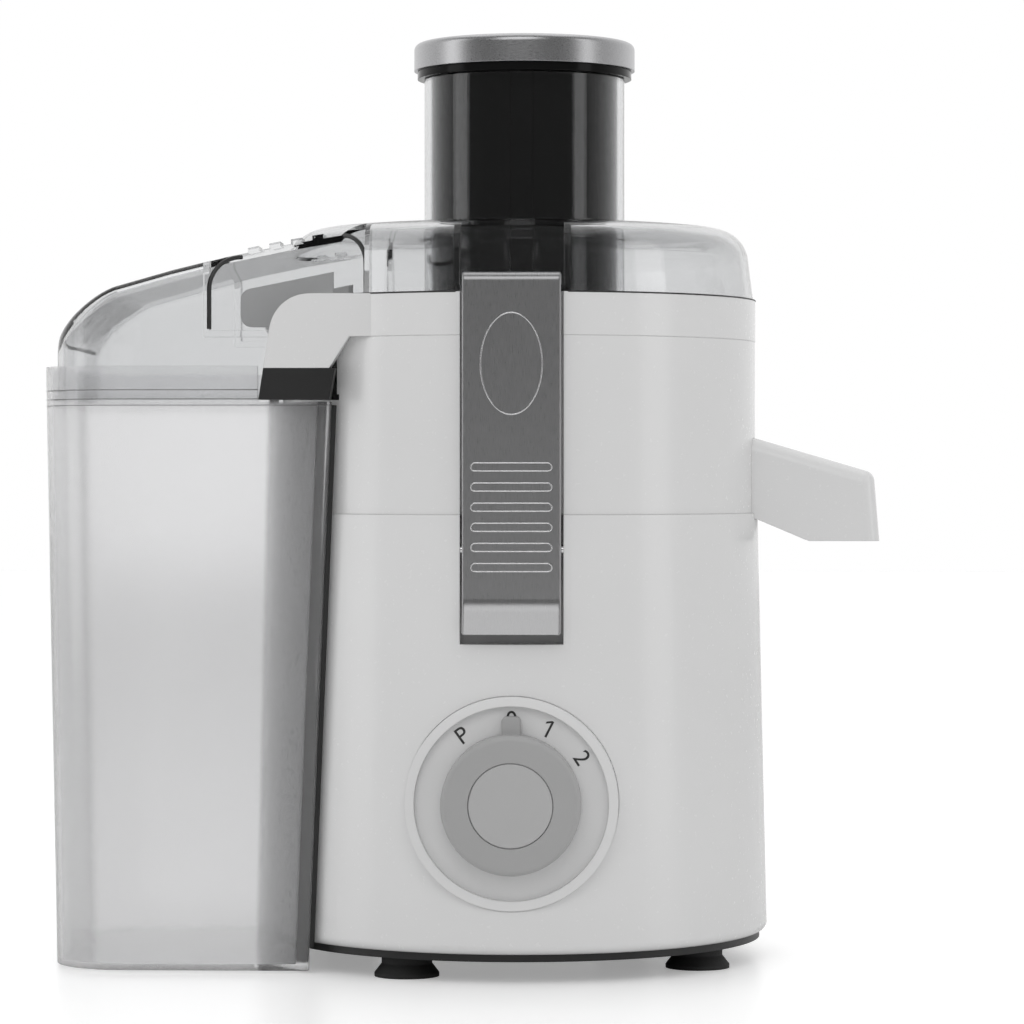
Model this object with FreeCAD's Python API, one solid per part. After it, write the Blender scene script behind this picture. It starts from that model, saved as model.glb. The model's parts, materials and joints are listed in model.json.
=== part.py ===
import FreeCAD, Part
import math
import os

# Centrifugal juicer. While the pieces are made, Z is the motor axis, the table is at height 0, the front
# faces -Y, the pulp bin is at -X and the spout at +X. The last lines move the origin to the middle of the
# whole machine's footprint on the table. Sizes are in millimetres.

# Clearances
SEAT_GAP = 0.1          # round a piece that is fixed in its seat
RUN_GAP = 0.05          # radial, round a turning shaft or pin
SLIDE_GAP = 0.4         # beside a piece that slides or swings
BIN_GAP = 0.6           # over the bin's low rim, so that it slides out under the pads and the skirt
TOUCH = 0.01            # two places nearer than this are the same place
NEAR = 1.0              # for telling one edge from the next

# Feet and base plate
FOOT_RADIUS = 11.35
FOOT_NECK_RADIUS = 8.85
FOOT_HEIGHT = 7.5
FOOT_FLARE_HEIGHT = 4.5
FOOT_RIM = 2.6
FOOT_CUP = 2.0
FOOT_STEM_RADIUS = 4.0
FOOT_BARB = 1.2
FOOT_INSET = 15.8       # from the casing's foot to the middle of a rubber foot
FOOT_FIRST_ANGLE = -30
FOOT_COUNT = 4
PLATE_THICKNESS = 4.0
PLATE_DROP = 2.5        # the plate stands this far below the casing's edge
VENT_COUNT = 20
VENT_INNER = 32.0
VENT_OUTER = 56.0
VENT_WIDTH = 4.0

# Motor base casing
BASE_SHOULDER = 0.9     # how far the casing's top rim stands outside the housing
BASE_FLARE = 3.4        # how much wider the casing is at its foot
BASE_HEIGHT = 151.0
BASE_WALL = 2.6
BASE_EDGE_ROUND = 3.0
DECK_THICKNESS = 2.5
DECK_DROP = 3.0         # the deck lies this far below the casing's top rim
NECK_HEIGHT = 12.0
NECK_WALL = 2.5
BOSS_INSET = 12.3       # from the casing's foot to the middle of a screw boss
BOSS_RADIUS = 5.0
BOSS_HEIGHT = 16.0
BOSS_FIRST_ANGLE = 45
BOSS_COUNT = 4
BASE_SCREW_RADIUS = 1.75
BASE_SCREW_HEAD = 3.6
BASE_SCREW_HEAD_DEPTH = 2.0
BASE_SCREW_LENGTH = 14.0

# Upper housing, collar and bin arms. The housing's radius sets the width of the whole body.
HOUSING_RADIUS = 86.0
HOUSING_HEIGHT = 62.0
HOUSING_WALL = 2.4
HOUSING_LEDGE_DROP = 6.0
HOUSING_LEDGE_HEIGHT = 2.5
COLLAR_STEP = 0.1       # how far the collar stands outside the housing
COLLAR_HEIGHT = 15.0
COLLAR_WIDTH = 6.1
CHEEK_GAP = 3.1         # between the cheek and the lid's finger recess
PULP_WINDOW_DEPTH = 11.0
CHEEK_WALL = 2.0
CHEEK_OVERHANG = 10.0   # past the arm's end
CHEEK_END_RISE = 2.0    # top of the cheek's far end, over the collar
CHEEK_ROOT_RISE = 10.0
CHEEK_ROUND = 4.0
ARM_LENGTH = 23.0
ARM_DEPTH = 9.0
ARM_DROP = 11.0         # the arm's underside below the collar's
ARM_SHOULDER_ROUND = 14.0
ARM_LEAN = 4.0
ARM_THROAT_STEP = 7.0   # how much further the arm's underside reaches in under the collar
ARM_BODY_GAP = 3.9      # between the housing and the pad's foot
PAD_HEIGHT = 11.0
PAD_OVERHANG = 2.0

# Juice bowl and spout
BOWL_WALL = 2.4
BOWL_GAP = 0.6
BOWL_FLOOR_LIFT = 7.0   # over the casing's rim
BOWL_FLANGE = 4.0
BOWL_FLANGE_HEIGHT = 2.4
BOWL_NECK_RADIUS = 25.0
BOWL_NECK_HEIGHT = 12.0
SPOUT_HALF_WIDTH = 17.0
SPOUT_WALL = 2.4
SPOUT_LENGTH = 44.5     # out from the housing
SPOUT_TIP_LEAN = 2.0
SPOUT_MOUTH_LENGTH = 25.5
SPOUT_ROOT_TOP = 27.0   # heights over the casing's rim
SPOUT_ROOT_BOTTOM = -2.0
SPOUT_TIP_TOP = 14.5
SPOUT_MOUTH = -10.0
SPOUT_ROUND = 5.0
SPOUT_TIP_ROUND = 4.0
SPOUT_INSIDE_ROUND = 3.0
SPOUT_DOOR_HALF = 12.0
SPOUT_DOOR_HEIGHT = 13.0

# Lid, chute and pusher
LID_SETBACK = 0.6       # how far the lid stands inside the housing's line
LID_HEIGHT = 26.5
LID_WALL = 2.2
LID_LEAN = 3.2
LID_ROUND = 12.0
LID_TOP_FALL = 1.0
HOOD_GAP = 1.9          # between the hood's skirt and the bin's wall
HOOD_CORNER = 24.0
HOOD_SHOULDER_DROP = 16.0
HOOD_KNEE_RISE = 3.5
HOOD_NOSE_POWER = 1.3   # how full the nose is between the knee and the shoulder
HOOD_NOSE_STEPS = 8
HOOD_CROWN_X = 24.0
HOOD_CROWN_DROP = 1.3
HOOD_ARCH = 3.3         # rise of the roof over a straight line from the crown to the knee
HOOD_ROOF_STEPS = 6
HOOD_EDGE_ROUND = 5.0
HOOD_BEAD = 0.8
HOOD_BEAD_HEIGHT = 2.0
RECESS_LENGTH = 55.0    # finger recess in the hood's sides
RECESS_INSET = 12.0     # its inner end, from the arm's
RECESS_DEPTH = 7.0
RECESS_FLOOR_DROP = 12.5
GRIP_COUNT = 4
GRIP_INSET = 13.0       # the first ridge, from the recess's outer end
GRIP_PITCH = 7.6
GRIP_WIDTH = 3.8
GRIP_LENGTH = 14.0
GRIP_HEIGHT = 1.6
CHUTE_OFFSET = 2.0      # the chute stands this far to the right of the motor axis
CHUTE_RADIUS = 36.5
CHUTE_WALL = 2.3
CHUTE_RISE = 54.0
CHUTE_FLANGE = 3.0
CHUTE_FLANGE_HEIGHT = 2.0
CHUTE_FOOT_GAP = 2.5
KEY_WIDTH = 7.0
KEY_HEIGHT = 0.8
PUSHER_WALL = 2.5
PUSHER_FLANGE_REACH = 2.5   # past the chute's outside
PUSHER_FLANGE_HEIGHT = 3.0
PUSHER_FOOT_GAP = 2.0
CAP_OVERHANG = 1.2      # past the pusher's flange
CAP_HEIGHT = 10.0
CAP_ROUND = 2.5

# Pulp bin
BIN_LENGTH = 78.7       # at the rim, from the body's side to the far end
BIN_HALF_WIDTH = 64.4
BIN_DRAFT = 3.5
BIN_WALL = 2.2
BIN_FLOOR_LIFT = 1.0
BIN_CORNER = 28.0
BIN_EDGE_ROUND = 1.2
BIN_RIM_STEP = 12.6     # the rim round the hood stands this far over the rim under the pads
BIN_STEP_SETOFF = 2.5   # the step in the rim, past the arm's end
BIN_BODY_GAP_TOP = 2.0
BIN_BODY_GAP_BOTTOM = 3.0

# Latches
LATCH_WIDTH = 34.0
LATCH_THICKNESS = 3.0
LATCH_PROUD = 1.5
LATCH_PIVOT_DROP = 12.0
LATCH_TAIL = 29.0
LATCH_LIP_HEIGHT = 10.0
LATCH_LIP_FLARE = 4.5
LATCH_SWING = 18.0      # degrees
LATCH_HOOK_HEIGHT = 4.0
LATCH_HOOK_REACH = 9.0
LATCH_BARREL_RADIUS = 4.0
LATCH_BARREL_SINK = 1.0
LATCH_EDGE_ROUND = 0.8
LATCH_HOOK_ROOM = 1.0
CHANNEL_ROOM = 3.9
POCKET_ROOM = 4.0
POCKET_FOOT_ROOM = 3.5
PIN_RADIUS = 1.5
PIN_BITE = 2.0
RIB_COUNT = 6
RIB_TOP = 28.5          # over the pivot
RIB_PITCH = 6.9
RIB_LENGTH = 27.8
RIB_WIDTH = 2.8
RIB_RELIEF = 0.5
OVAL_CENTRE = 64.0      # over the pivot
OVAL_HALF_WIDTH = 10.6
OVAL_HALF_HEIGHT = 17.5
OVAL_RELIEF = 0.4

# Dial and switch
DIAL_HEIGHT = 62.0      # over the table
DIAL_PROUD = 1.4
BEZEL_RADIUS = 36.8
BEZEL_RING = 3.4
BEZEL_RECESS = 3.0
BEZEL_DEPTH = 14.5
KNOB_RADIUS = 24.0
KNOB_DEPTH = 12.0
KNOB_ROUND = 2.0
KNOB_CAP_RADIUS = 14.5
KNOB_CAP_DEPTH = 2.5
POINTER_REACH = 30.0
POINTER_WIDTH = 6.5
POINTER_DEPTH = 5.0
SWITCH_SHAFT_RADIUS = 3.0
SWITCH_SIZE = 30.0
SWITCH_DEPTH = 18.0
SWITCH_SHAFT_BITE = 10.0

# Motor, measured down from the deck
MOTOR_POST_LENGTH = 14.0
MOTOR_POST_RADIUS = 5.5
MOTOR_POST_CIRCLE = 52.0
MOTOR_POST_FIRST_ANGLE = 45
MOTOR_POST_COUNT = 4
DAMPER_HEIGHT = 7.0
DAMPER_RADIUS = 6.5
BRACKET_THICKNESS = 4.0
BRACKET_HALF_WIDTH = 14.0
UPPER_LEG = 23.0
LOWER_LEG = 26.0
COMMUTATOR_DROP = 5.0
LEG_RADIUS = 5.0
LEG_CIRCLE = 33.0
STATOR_RADIUS = 38.0
STATOR_HEIGHT = 36.0
AIR_GAP = 0.6
COIL_INNER = 24.0
COIL_OUTER = 34.0
COIL_HALF_ANGLE = 55.0
COIL_WINDOW_HALF_ANGLE = 40.0
COIL_SLACK_ANGLE = 0.5
COIL_HEAD = 8.0
ARMATURE_RADIUS = 21.0
ARMATURE_SLOTS = 12
ARMATURE_SLOT_WIDTH = 2.4
ARMATURE_SLOT_DEPTH = 5.0
ARMATURE_HEAD_RADIUS = 15.0
ARMATURE_HEAD = 6.0
SHAFT_RADIUS = 4.0
BEARING_RADIUS = 11.0
BEARING_HEIGHT = 7.0
BEARING_CUP_WALL = 3.0
BEARING_LIP = 2.0
BEARING_LIP_BORE = 6.5
COMMUTATOR_RADIUS = 11.0
COMMUTATOR_HEIGHT = 12.0
COMMUTATOR_BARS = 12
COMMUTATOR_SLOT = 0.8
BRUSH_LENGTH = 15.0
BRUSH_WIDTH = 6.0
BRUSH_HEIGHT = 8.0
BRUSH_HOLDER_WALL = 2.0
BRUSH_HOLDER_START = 14.0
FAN_RADIUS = 26.0
FAN_HEIGHT = 9.0
FAN_DISC = 1.5
FAN_HUB_RADIUS = 9.0
FAN_BLADES = 11
FAN_BLADE_WIDTH = 1.6
FAN_CLEARANCE = 2.0
MOTOR_SCREW_RADIUS = 2.0
MOTOR_SCREW_HEAD = 3.8
MOTOR_SCREW_HEAD_HEIGHT = 3.0
MOTOR_SCREW_BITE = 9.0

# Drive, basket and cutter
COUPLING_LIFT = 5.0     # its foot over the deck
COUPLING_RADIUS = 13.0
COUPLING_HEIGHT = 20.0
COUPLING_SPLINES = 6
COUPLING_SPLINE_WIDTH = 3.0
COUPLING_SPLINE_DEPTH = 2.0
COUPLING_FLANGE = 2.0
COUPLING_FLANGE_HEIGHT = 2.0
SEAL_RADIUS = 17.5
SEAL_LIP_HEIGHT = 2.0
HUB_BOSS_WALL = 3.5
HUB_BOSS_DEPTH = 13.0
HUB_TOP = 4.0
HUB_SKIRT_WALL = 2.5
HUB_SKIRT_GAP = 2.5
HUB_SKIRT_DEPTH = 12.0
BASKET_ROOM = 6.1       # between its rim and the bowl
BASKET_FLARE = 18.0
BASKET_HEIGHT = 36.0
BASKET_WALL = 1.0
BASKET_RIM = 2.0
BASKET_RIM_HEIGHT = 2.5
BASKET_SLOTS = 36
BASKET_SLOT_WIDTH = 1.6
BASKET_SLOT_MARGIN = 5.0
CUTTER_MARGIN = 4.0     # between the disc's edge and the basket's wall
CUTTER_THICKNESS = 2.5
CUTTER_TOOTH = 1.6
CUTTER_TOOTH_LENGTH = 4.0
CUTTER_TOOTH_RINGS = (18.0, 25.0, 32.0)
CUTTER_TEETH_PER_RING = 12
NUT_RADIUS = 9.0
NUT_HEIGHT = 4.0
NUT_BITE = 3.0

# Rear and side fittings
GLAND_HEIGHT = 30.0     # over the table
GLAND_RADIUS = 6.5
GLAND_FLANGE = 9.0
GLAND_FLANGE_THICKNESS = 2.0
GLAND_LENGTH = 12.0
GLAND_BORE = 3.6
SAFETY_SWITCH_WIDTH = 20.0
SAFETY_SWITCH_HEIGHT = 12.0
SAFETY_SWITCH_DEPTH = 8.0

# Heights that follow from the sizes above
Z_PLATE_TOP = FOOT_HEIGHT + PLATE_THICKNESS
Z_BASE_BOTTOM = FOOT_HEIGHT + PLATE_DROP
Z_BASE_TOP = Z_BASE_BOTTOM + BASE_HEIGHT
Z_DECK_TOP = Z_BASE_TOP - DECK_DROP
Z_DECK_UNDER = Z_DECK_TOP - DECK_THICKNESS
Z_NECK_TOP = Z_DECK_TOP + NECK_HEIGHT
Z_HOUSING_TOP = Z_BASE_TOP + HOUSING_HEIGHT
Z_LEDGE_TOP = Z_HOUSING_TOP - HOUSING_LEDGE_DROP
Z_COLLAR_TOP = Z_HOUSING_TOP + COLLAR_HEIGHT
Z_LID_TOP = Z_COLLAR_TOP + LID_HEIGHT
Z_LATCH_LEDGE = Z_COLLAR_TOP + LID_WALL
Z_CHUTE_TOP = Z_LID_TOP + CHUTE_RISE
Z_PUSHER_FLANGE = Z_CHUTE_TOP + SLIDE_GAP
Z_CAP = Z_PUSHER_FLANGE + PUSHER_FLANGE_HEIGHT
Z_PAD_TOP = Z_HOUSING_TOP - ARM_DROP
Z_PAD_BOTTOM = Z_PAD_TOP - PAD_HEIGHT
Z_BIN_LOW_RIM = Z_PAD_BOTTOM - BIN_GAP
Z_BIN_RIM = Z_BIN_LOW_RIM + BIN_RIM_STEP
Z_SKIRT_BOTTOM = Z_BIN_LOW_RIM + BIN_GAP
Z_PIVOT = Z_BASE_TOP - LATCH_PIVOT_DROP
Z_POCKET_FLOOR = Z_PIVOT - LATCH_TAIL - POCKET_FOOT_ROOM
Z_BOWL_FLOOR = Z_BASE_TOP + BOWL_FLOOR_LIFT
Z_COUPLING = Z_DECK_TOP + COUPLING_LIFT
Z_COUPLING_TOP = Z_COUPLING + COUPLING_HEIGHT
Z_BASKET = Z_COUPLING_TOP + SLIDE_GAP + HUB_TOP
Z_CUTTER = Z_BASKET + BASKET_WALL
Z_CUTTER_TOP = Z_CUTTER + CUTTER_THICKNESS
Z_NUT_TOP = Z_CUTTER_TOP + NUT_HEIGHT
Z_CHUTE_FOOT = Z_CUTTER_TOP + CUTTER_TOOTH + CHUTE_FOOT_GAP
Z_PUSHER_FOOT = max(Z_NUT_TOP, Z_CHUTE_FOOT) + PUSHER_FOOT_GAP
Z_DAMPER_TOP = Z_DECK_UNDER - MOTOR_POST_LENGTH
Z_BRACKET_TOP = Z_DAMPER_TOP - DAMPER_HEIGHT
Z_BRACKET_UNDER = Z_BRACKET_TOP - BRACKET_THICKNESS
Z_STATOR_TOP = Z_BRACKET_UNDER - UPPER_LEG
Z_STATOR_BOTTOM = Z_STATOR_TOP - STATOR_HEIGHT
Z_LOWER_BAR_TOP = Z_STATOR_BOTTOM - LOWER_LEG
Z_LOWER_BAR = Z_LOWER_BAR_TOP - BRACKET_THICKNESS
Z_LOWER_BEARING = Z_LOWER_BAR_TOP - BEARING_HEIGHT
Z_SHAFT_BOTTOM = Z_LOWER_BEARING
Z_FAN_TOP = Z_BRACKET_UNDER - FAN_CLEARANCE - BEARING_LIP
Z_FAN = Z_FAN_TOP - FAN_HEIGHT

# Depths and radii that follow from the sizes above
BASE_TOP_RADIUS = HOUSING_RADIUS + BASE_SHOULDER
BASE_BOTTOM_RADIUS = BASE_TOP_RADIUS + BASE_FLARE
COLLAR_RADIUS = HOUSING_RADIUS + COLLAR_STEP
LID_RADIUS = HOUSING_RADIUS - LID_SETBACK
FOOT_CIRCLE = BASE_BOTTOM_RADIUS - FOOT_INSET
BOSS_CIRCLE = BASE_BOTTOM_RADIUS - BOSS_INSET
BIN_REACH = BASE_TOP_RADIUS + BIN_BODY_GAP_TOP + BIN_LENGTH
SPOUT_TIP = HOUSING_RADIUS + SPOUT_LENGTH
SPOUT_MOUTH_START = SPOUT_TIP - SPOUT_MOUTH_LENGTH
LATCH_FACE = max(BASE_TOP_RADIUS, HOUSING_RADIUS, COLLAR_RADIUS, LID_RADIUS) + LATCH_PROUD
LATCH_BACK = LATCH_FACE - LATCH_THICKNESS
LATCH_HALF = LATCH_WIDTH / 2
CHANNEL_HALF = LATCH_HALF + 2 * SLIDE_GAP
CHANNEL_BACK = LATCH_BACK - CHANNEL_ROOM
PIVOT_Y = LATCH_BACK - LATCH_BARREL_RADIUS + LATCH_BARREL_SINK
POCKET_BACK = LATCH_BACK - LATCH_TAIL * math.sin(math.radians(LATCH_SWING)) - POCKET_ROOM
BOWL_RADIUS = CHANNEL_BACK - HOUSING_WALL - BOWL_GAP
BOWL_NECK_INNER = BOWL_NECK_RADIUS - BOWL_WALL
BASKET_TOP_RADIUS = BOWL_RADIUS - BOWL_WALL - BASKET_ROOM - BASKET_RIM
BASKET_FLOOR_RADIUS = BASKET_TOP_RADIUS - BASKET_FLARE
CUTTER_RADIUS = BASKET_FLOOR_RADIUS - CUTTER_MARGIN
HOOD_REACH = BIN_REACH - BIN_WALL - HOOD_GAP
HOOD_HALF = BIN_HALF_WIDTH - BIN_WALL - HOOD_GAP
ARM_INSIDE = HOOD_HALF + HOOD_BEAD + SLIDE_GAP
ARM_INNER = math.sqrt(HOUSING_RADIUS ** 2 - ARM_INSIDE ** 2) + ARM_BODY_GAP
ARM_THROAT = ARM_INNER - ARM_THROAT_STEP
ARM_REACH = ARM_INNER + ARM_LENGTH
CHEEK_REACH = ARM_REACH + CHEEK_OVERHANG
BIN_STEP_X = ARM_REACH + BIN_STEP_SETOFF
RECESS_END = ARM_INNER - RECESS_INSET
RECESS_START = RECESS_END + RECESS_LENGTH
GRIP_START = RECESS_START - GRIP_INSET
PULP_WINDOW_HALF = HOOD_HALF - RECESS_DEPTH - LID_WALL - CHEEK_GAP - CHEEK_WALL
CHUTE_BORE = CHUTE_RADIUS - CHUTE_WALL
PUSHER_FLANGE = CHUTE_RADIUS + PUSHER_FLANGE_REACH
CAP_RADIUS = PUSHER_FLANGE + CAP_OVERHANG
PUSHER_RADIUS = CHUTE_BORE - SLIDE_GAP
HUB_SKIRT_RADIUS = BOWL_NECK_RADIUS + HUB_SKIRT_GAP + HUB_SKIRT_WALL
FAR = 400.0             # longer than the machine, for cuts that run right out of it

V = FreeCAD.Vector
UP = V(0, 0, 1)


def base_radius(z):
    """Outer radius of the motor base at a height: it flares towards the table."""
    share = (z - Z_BASE_BOTTOM) / BASE_HEIGHT
    return BASE_BOTTOM_RADIUS + share * (BASE_TOP_RADIUS - BASE_BOTTOM_RADIUS)


DIAL_FACE = base_radius(DIAL_HEIGHT) + DIAL_PROUD
DIAL_PLATE = DIAL_FACE - BEZEL_RECESS
BEZEL_BACK = DIAL_FACE - BEZEL_DEPTH


# Shapes that the pieces are made from

def box(x0, x1, y0, y1, z0, z1):
    return Part.makeBox(x1 - x0, y1 - y0, z1 - z0, V(x0, y0, z0))


def post(radius, z0, z1, x=0, y=0):
    return Part.makeCylinder(radius, z1 - z0, V(x, y, z0))


def tube(outer, inner, z0, z1, x=0, y=0):
    return post(outer, z0, z1, x, y).cut(post(inner, z0, z1, x, y))


def peg(radius, y0, y1, z):
    """A cylinder along Y, at the middle of the machine's width."""
    return Part.makeCylinder(radius, y1 - y0, V(0, y0, z), V(0, 1, 0))


def rod(radius, half_length, y, z):
    """A cylinder along X, as long each way from the middle."""
    return Part.makeCylinder(radius, 2 * half_length, V(-half_length, y, z), V(1, 0, 0))


def rounded_corner(before, here, after, radius):
    """Start, middle and end of the arc that rounds a corner."""
    back = (before - here).normalize()
    ahead = (after - here).normalize()
    half = back.getAngle(ahead) / 2
    reach = radius / math.tan(half)
    inward = (back + ahead).normalize()
    middle = here + inward * (radius / math.sin(half) - radius)
    return here + back * reach, middle, here + ahead * reach


def outline(points, place):
    """Face inside (u, v) or (u, v, corner radius) points, which place puts in space."""
    spots = [place(point[0], point[1]) for point in points]
    edges = []
    pen = None
    first = None
    for index, point in enumerate(points):
        here = spots[index]
        start = here
        end = here
        if len(point) == 3:
            before = spots[index - 1]
            after = spots[(index + 1) % len(points)]
            start, middle, end = rounded_corner(before, here, after, point[2])
        if pen is not None:
            edges.append(Part.LineSegment(pen, start).toShape())
        if first is None:
            first = start
        if len(point) == 3:
            edges.append(Part.Arc(start, middle, end).toShape())
        pen = end
    edges.append(Part.LineSegment(pen, first).toShape())
    return Part.Face(Part.Wire(edges))


def upright(solid):
    """The same solid with its faces turned outward."""
    if solid.Volume < 0:
        solid.reverse()
    return solid


def turned(points):
    """Solid of revolution about Z from (radius, height) points."""
    return upright(outline(points, lambda r, z: V(r, 0, z)).revolve(V(0, 0, 0), UP, 360))


def slab_y(points, y0, y1):
    """(x, z) outline from one depth to another."""
    return upright(outline(points, lambda x, z: V(x, y0, z)).extrude(V(0, y1 - y0, 0)))


def slab_x(points, half_width):
    """(y, z) outline as wide each way from the middle."""
    return upright(outline(points, lambda y, z: V(-half_width, y, z)).extrude(V(2 * half_width, 0, 0)))


def slab_z(points, z0, z1):
    """(x, y) outline from one height to another."""
    return upright(outline(points, lambda x, y: V(x, y, z0)).extrude(V(0, 0, z1 - z0)))


def spun(shape, angle):
    """A copy turned about the motor axis, in degrees."""
    copy = shape.copy()
    copy.rotate(V(0, 0, 0), UP, angle)
    return copy


def ring_of(shape, count, first_angle=0):
    """Copies of a shape at equal steps about the motor axis."""
    return [spun(shape, first_angle + 360 / count * step) for step in range(count)]


def both_sides(shape):
    """A front shape and the same at the rear."""
    return [shape, spun(shape, 180)]


def mirrored(shape):
    """A shape and its mirror image in the plane between front and rear."""
    return [shape, shape.mirror(V(0, 0, 0), V(0, 1, 0))]


def group(shapes):
    return Part.makeCompound(shapes)


def fillet_where(solid, radius, wanted):
    """Rounds the edges whose middle point is wanted."""
    edges = [edge for edge in solid.Edges if wanted(edge.valueAt(sum(edge.ParameterRange) / 2))]
    return solid.makeFillet(radius, edges)


# Feet and base plate

def make_foot():
    barb_z = Z_PLATE_TOP + SEAT_GAP
    profile = [
        (0, FOOT_CUP),
        (FOOT_RADIUS - FOOT_RIM, 0),
        (FOOT_RADIUS, 0),
        (FOOT_RADIUS, FOOT_RIM / 2),
        (FOOT_NECK_RADIUS, FOOT_FLARE_HEIGHT),
        (FOOT_NECK_RADIUS, FOOT_HEIGHT),
        (FOOT_STEM_RADIUS, FOOT_HEIGHT),
        (FOOT_STEM_RADIUS, barb_z),
        (FOOT_STEM_RADIUS + FOOT_BARB, barb_z),
        (FOOT_STEM_RADIUS, barb_z + 2 * FOOT_BARB),
        (0, barb_z + 2 * FOOT_BARB),
    ]
    foot = turned(profile)
    foot.translate(V(FOOT_CIRCLE, 0, 0))
    return foot


def make_base_plate():
    radius = base_radius(Z_PLATE_TOP) - BASE_WALL - SEAT_GAP
    plate = post(radius, FOOT_HEIGHT, Z_PLATE_TOP)
    stem_hole = post(FOOT_STEM_RADIUS + SEAT_GAP, 0, Z_PLATE_TOP, FOOT_CIRCLE)
    shank_hole = post(BASE_SCREW_RADIUS + SEAT_GAP, 0, Z_PLATE_TOP, BOSS_CIRCLE)
    head_top = FOOT_HEIGHT + BASE_SCREW_HEAD_DEPTH
    head_hole = post(BASE_SCREW_HEAD + SEAT_GAP, 0, head_top, BOSS_CIRCLE)
    vent = box(VENT_INNER, VENT_OUTER, -VENT_WIDTH / 2, VENT_WIDTH / 2, 0, Z_PLATE_TOP)
    holes = ring_of(stem_hole, FOOT_COUNT, FOOT_FIRST_ANGLE)
    holes += ring_of(shank_hole.fuse(head_hole), BOSS_COUNT, BOSS_FIRST_ANGLE)
    holes += ring_of(vent, VENT_COUNT)
    return plate.cut(holes)


def make_base_screw():
    head = post(BASE_SCREW_HEAD, FOOT_HEIGHT, FOOT_HEIGHT + BASE_SCREW_HEAD_DEPTH, BOSS_CIRCLE)
    shank = post(BASE_SCREW_RADIUS, FOOT_HEIGHT, FOOT_HEIGHT + BASE_SCREW_LENGTH, BOSS_CIRCLE)
    slot_half = BASE_SCREW_RADIUS / 3
    slot = box(BOSS_CIRCLE - BASE_SCREW_HEAD, BOSS_CIRCLE + BASE_SCREW_HEAD, -slot_half, slot_half,
               FOOT_HEIGHT, FOOT_HEIGHT + BASE_SCREW_HEAD_DEPTH / 2)
    return head.fuse(shank).cut(slot)


# Motor base casing

def latch_pocket(grow):
    """Space in the base that the latch's tail swings into, grown by a wall."""
    half = CHANNEL_HALF + grow
    return box(-half, half, -FAR, -(POCKET_BACK - grow), Z_POCKET_FLOOR - grow, Z_BASE_TOP)


def latch_channel(grow, z0, z1):
    """Upright channel that the latch lies in above the base, grown by a wall."""
    half = CHANNEL_HALF + grow
    return box(-half, half, -FAR, -(CHANNEL_BACK - grow), z0, z1)


def make_motor_base_shell():
    outside = turned([
        (0, Z_BASE_BOTTOM),
        (BASE_BOTTOM_RADIUS, Z_BASE_BOTTOM, BASE_EDGE_ROUND),
        (BASE_TOP_RADIUS, Z_BASE_TOP),
        (0, Z_BASE_TOP),
    ])
    cavity = turned([
        (0, Z_BASE_BOTTOM),
        (BASE_BOTTOM_RADIUS - BASE_WALL, Z_BASE_BOTTOM),
        (base_radius(Z_DECK_UNDER) - BASE_WALL, Z_DECK_UNDER),
        (0, Z_DECK_UNDER),
    ])
    recess = post(BASE_TOP_RADIUS - BASE_WALL, Z_DECK_TOP, Z_BASE_TOP)
    shell = outside.cut([cavity, recess])

    boss_top = Z_PLATE_TOP + BOSS_HEIGHT
    boss = post(BOSS_RADIUS, Z_PLATE_TOP, boss_top, BOSS_CIRCLE)
    rib = box(BOSS_CIRCLE, FAR, -BOSS_RADIUS / 2, BOSS_RADIUS / 2, Z_PLATE_TOP, boss_top)
    motor_post = post(MOTOR_POST_RADIUS, Z_DAMPER_TOP, Z_DECK_TOP, MOTOR_POST_CIRCLE)
    added = ring_of(boss.fuse(rib), BOSS_COUNT, BOSS_FIRST_ANGLE)
    added += both_sides(latch_pocket(BASE_WALL))
    shell = shell.fuse([solid.common(outside) for solid in added])
    shell = shell.fuse(ring_of(motor_post, MOTOR_POST_COUNT, MOTOR_POST_FIRST_ANGLE))
    shell = shell.fuse(post(SEAL_RADIUS + NECK_WALL, Z_DECK_UNDER, Z_NECK_TOP))

    boss_screw = post(BASE_SCREW_RADIUS, Z_PLATE_TOP, FOOT_HEIGHT + BASE_SCREW_LENGTH, BOSS_CIRCLE)
    post_screw = post(MOTOR_SCREW_RADIUS, Z_DAMPER_TOP, Z_DAMPER_TOP + MOTOR_SCREW_BITE, MOTOR_POST_CIRCLE)
    pin = rod(PIN_RADIUS, CHANNEL_HALF + PIN_BITE, -PIVOT_Y, Z_PIVOT)
    holes = ring_of(boss_screw, BOSS_COUNT, BOSS_FIRST_ANGLE)
    holes += ring_of(post_screw, MOTOR_POST_COUNT, MOTOR_POST_FIRST_ANGLE)
    holes += both_sides(latch_pocket(0))
    holes += both_sides(pin)
    holes.append(post(SEAL_RADIUS, Z_DECK_UNDER, Z_NECK_TOP))
    holes.append(peg(BEZEL_RADIUS + SEAT_GAP, -FAR, -BEZEL_BACK / 2, DIAL_HEIGHT))
    holes.append(peg(GLAND_RADIUS + SEAT_GAP, 0, FAR, GLAND_HEIGHT))
    holes.append(spout_outside(SEAT_GAP))
    return shell.cut(holes).removeSplitter()


# Upper housing, collar, arms and gasket

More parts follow.
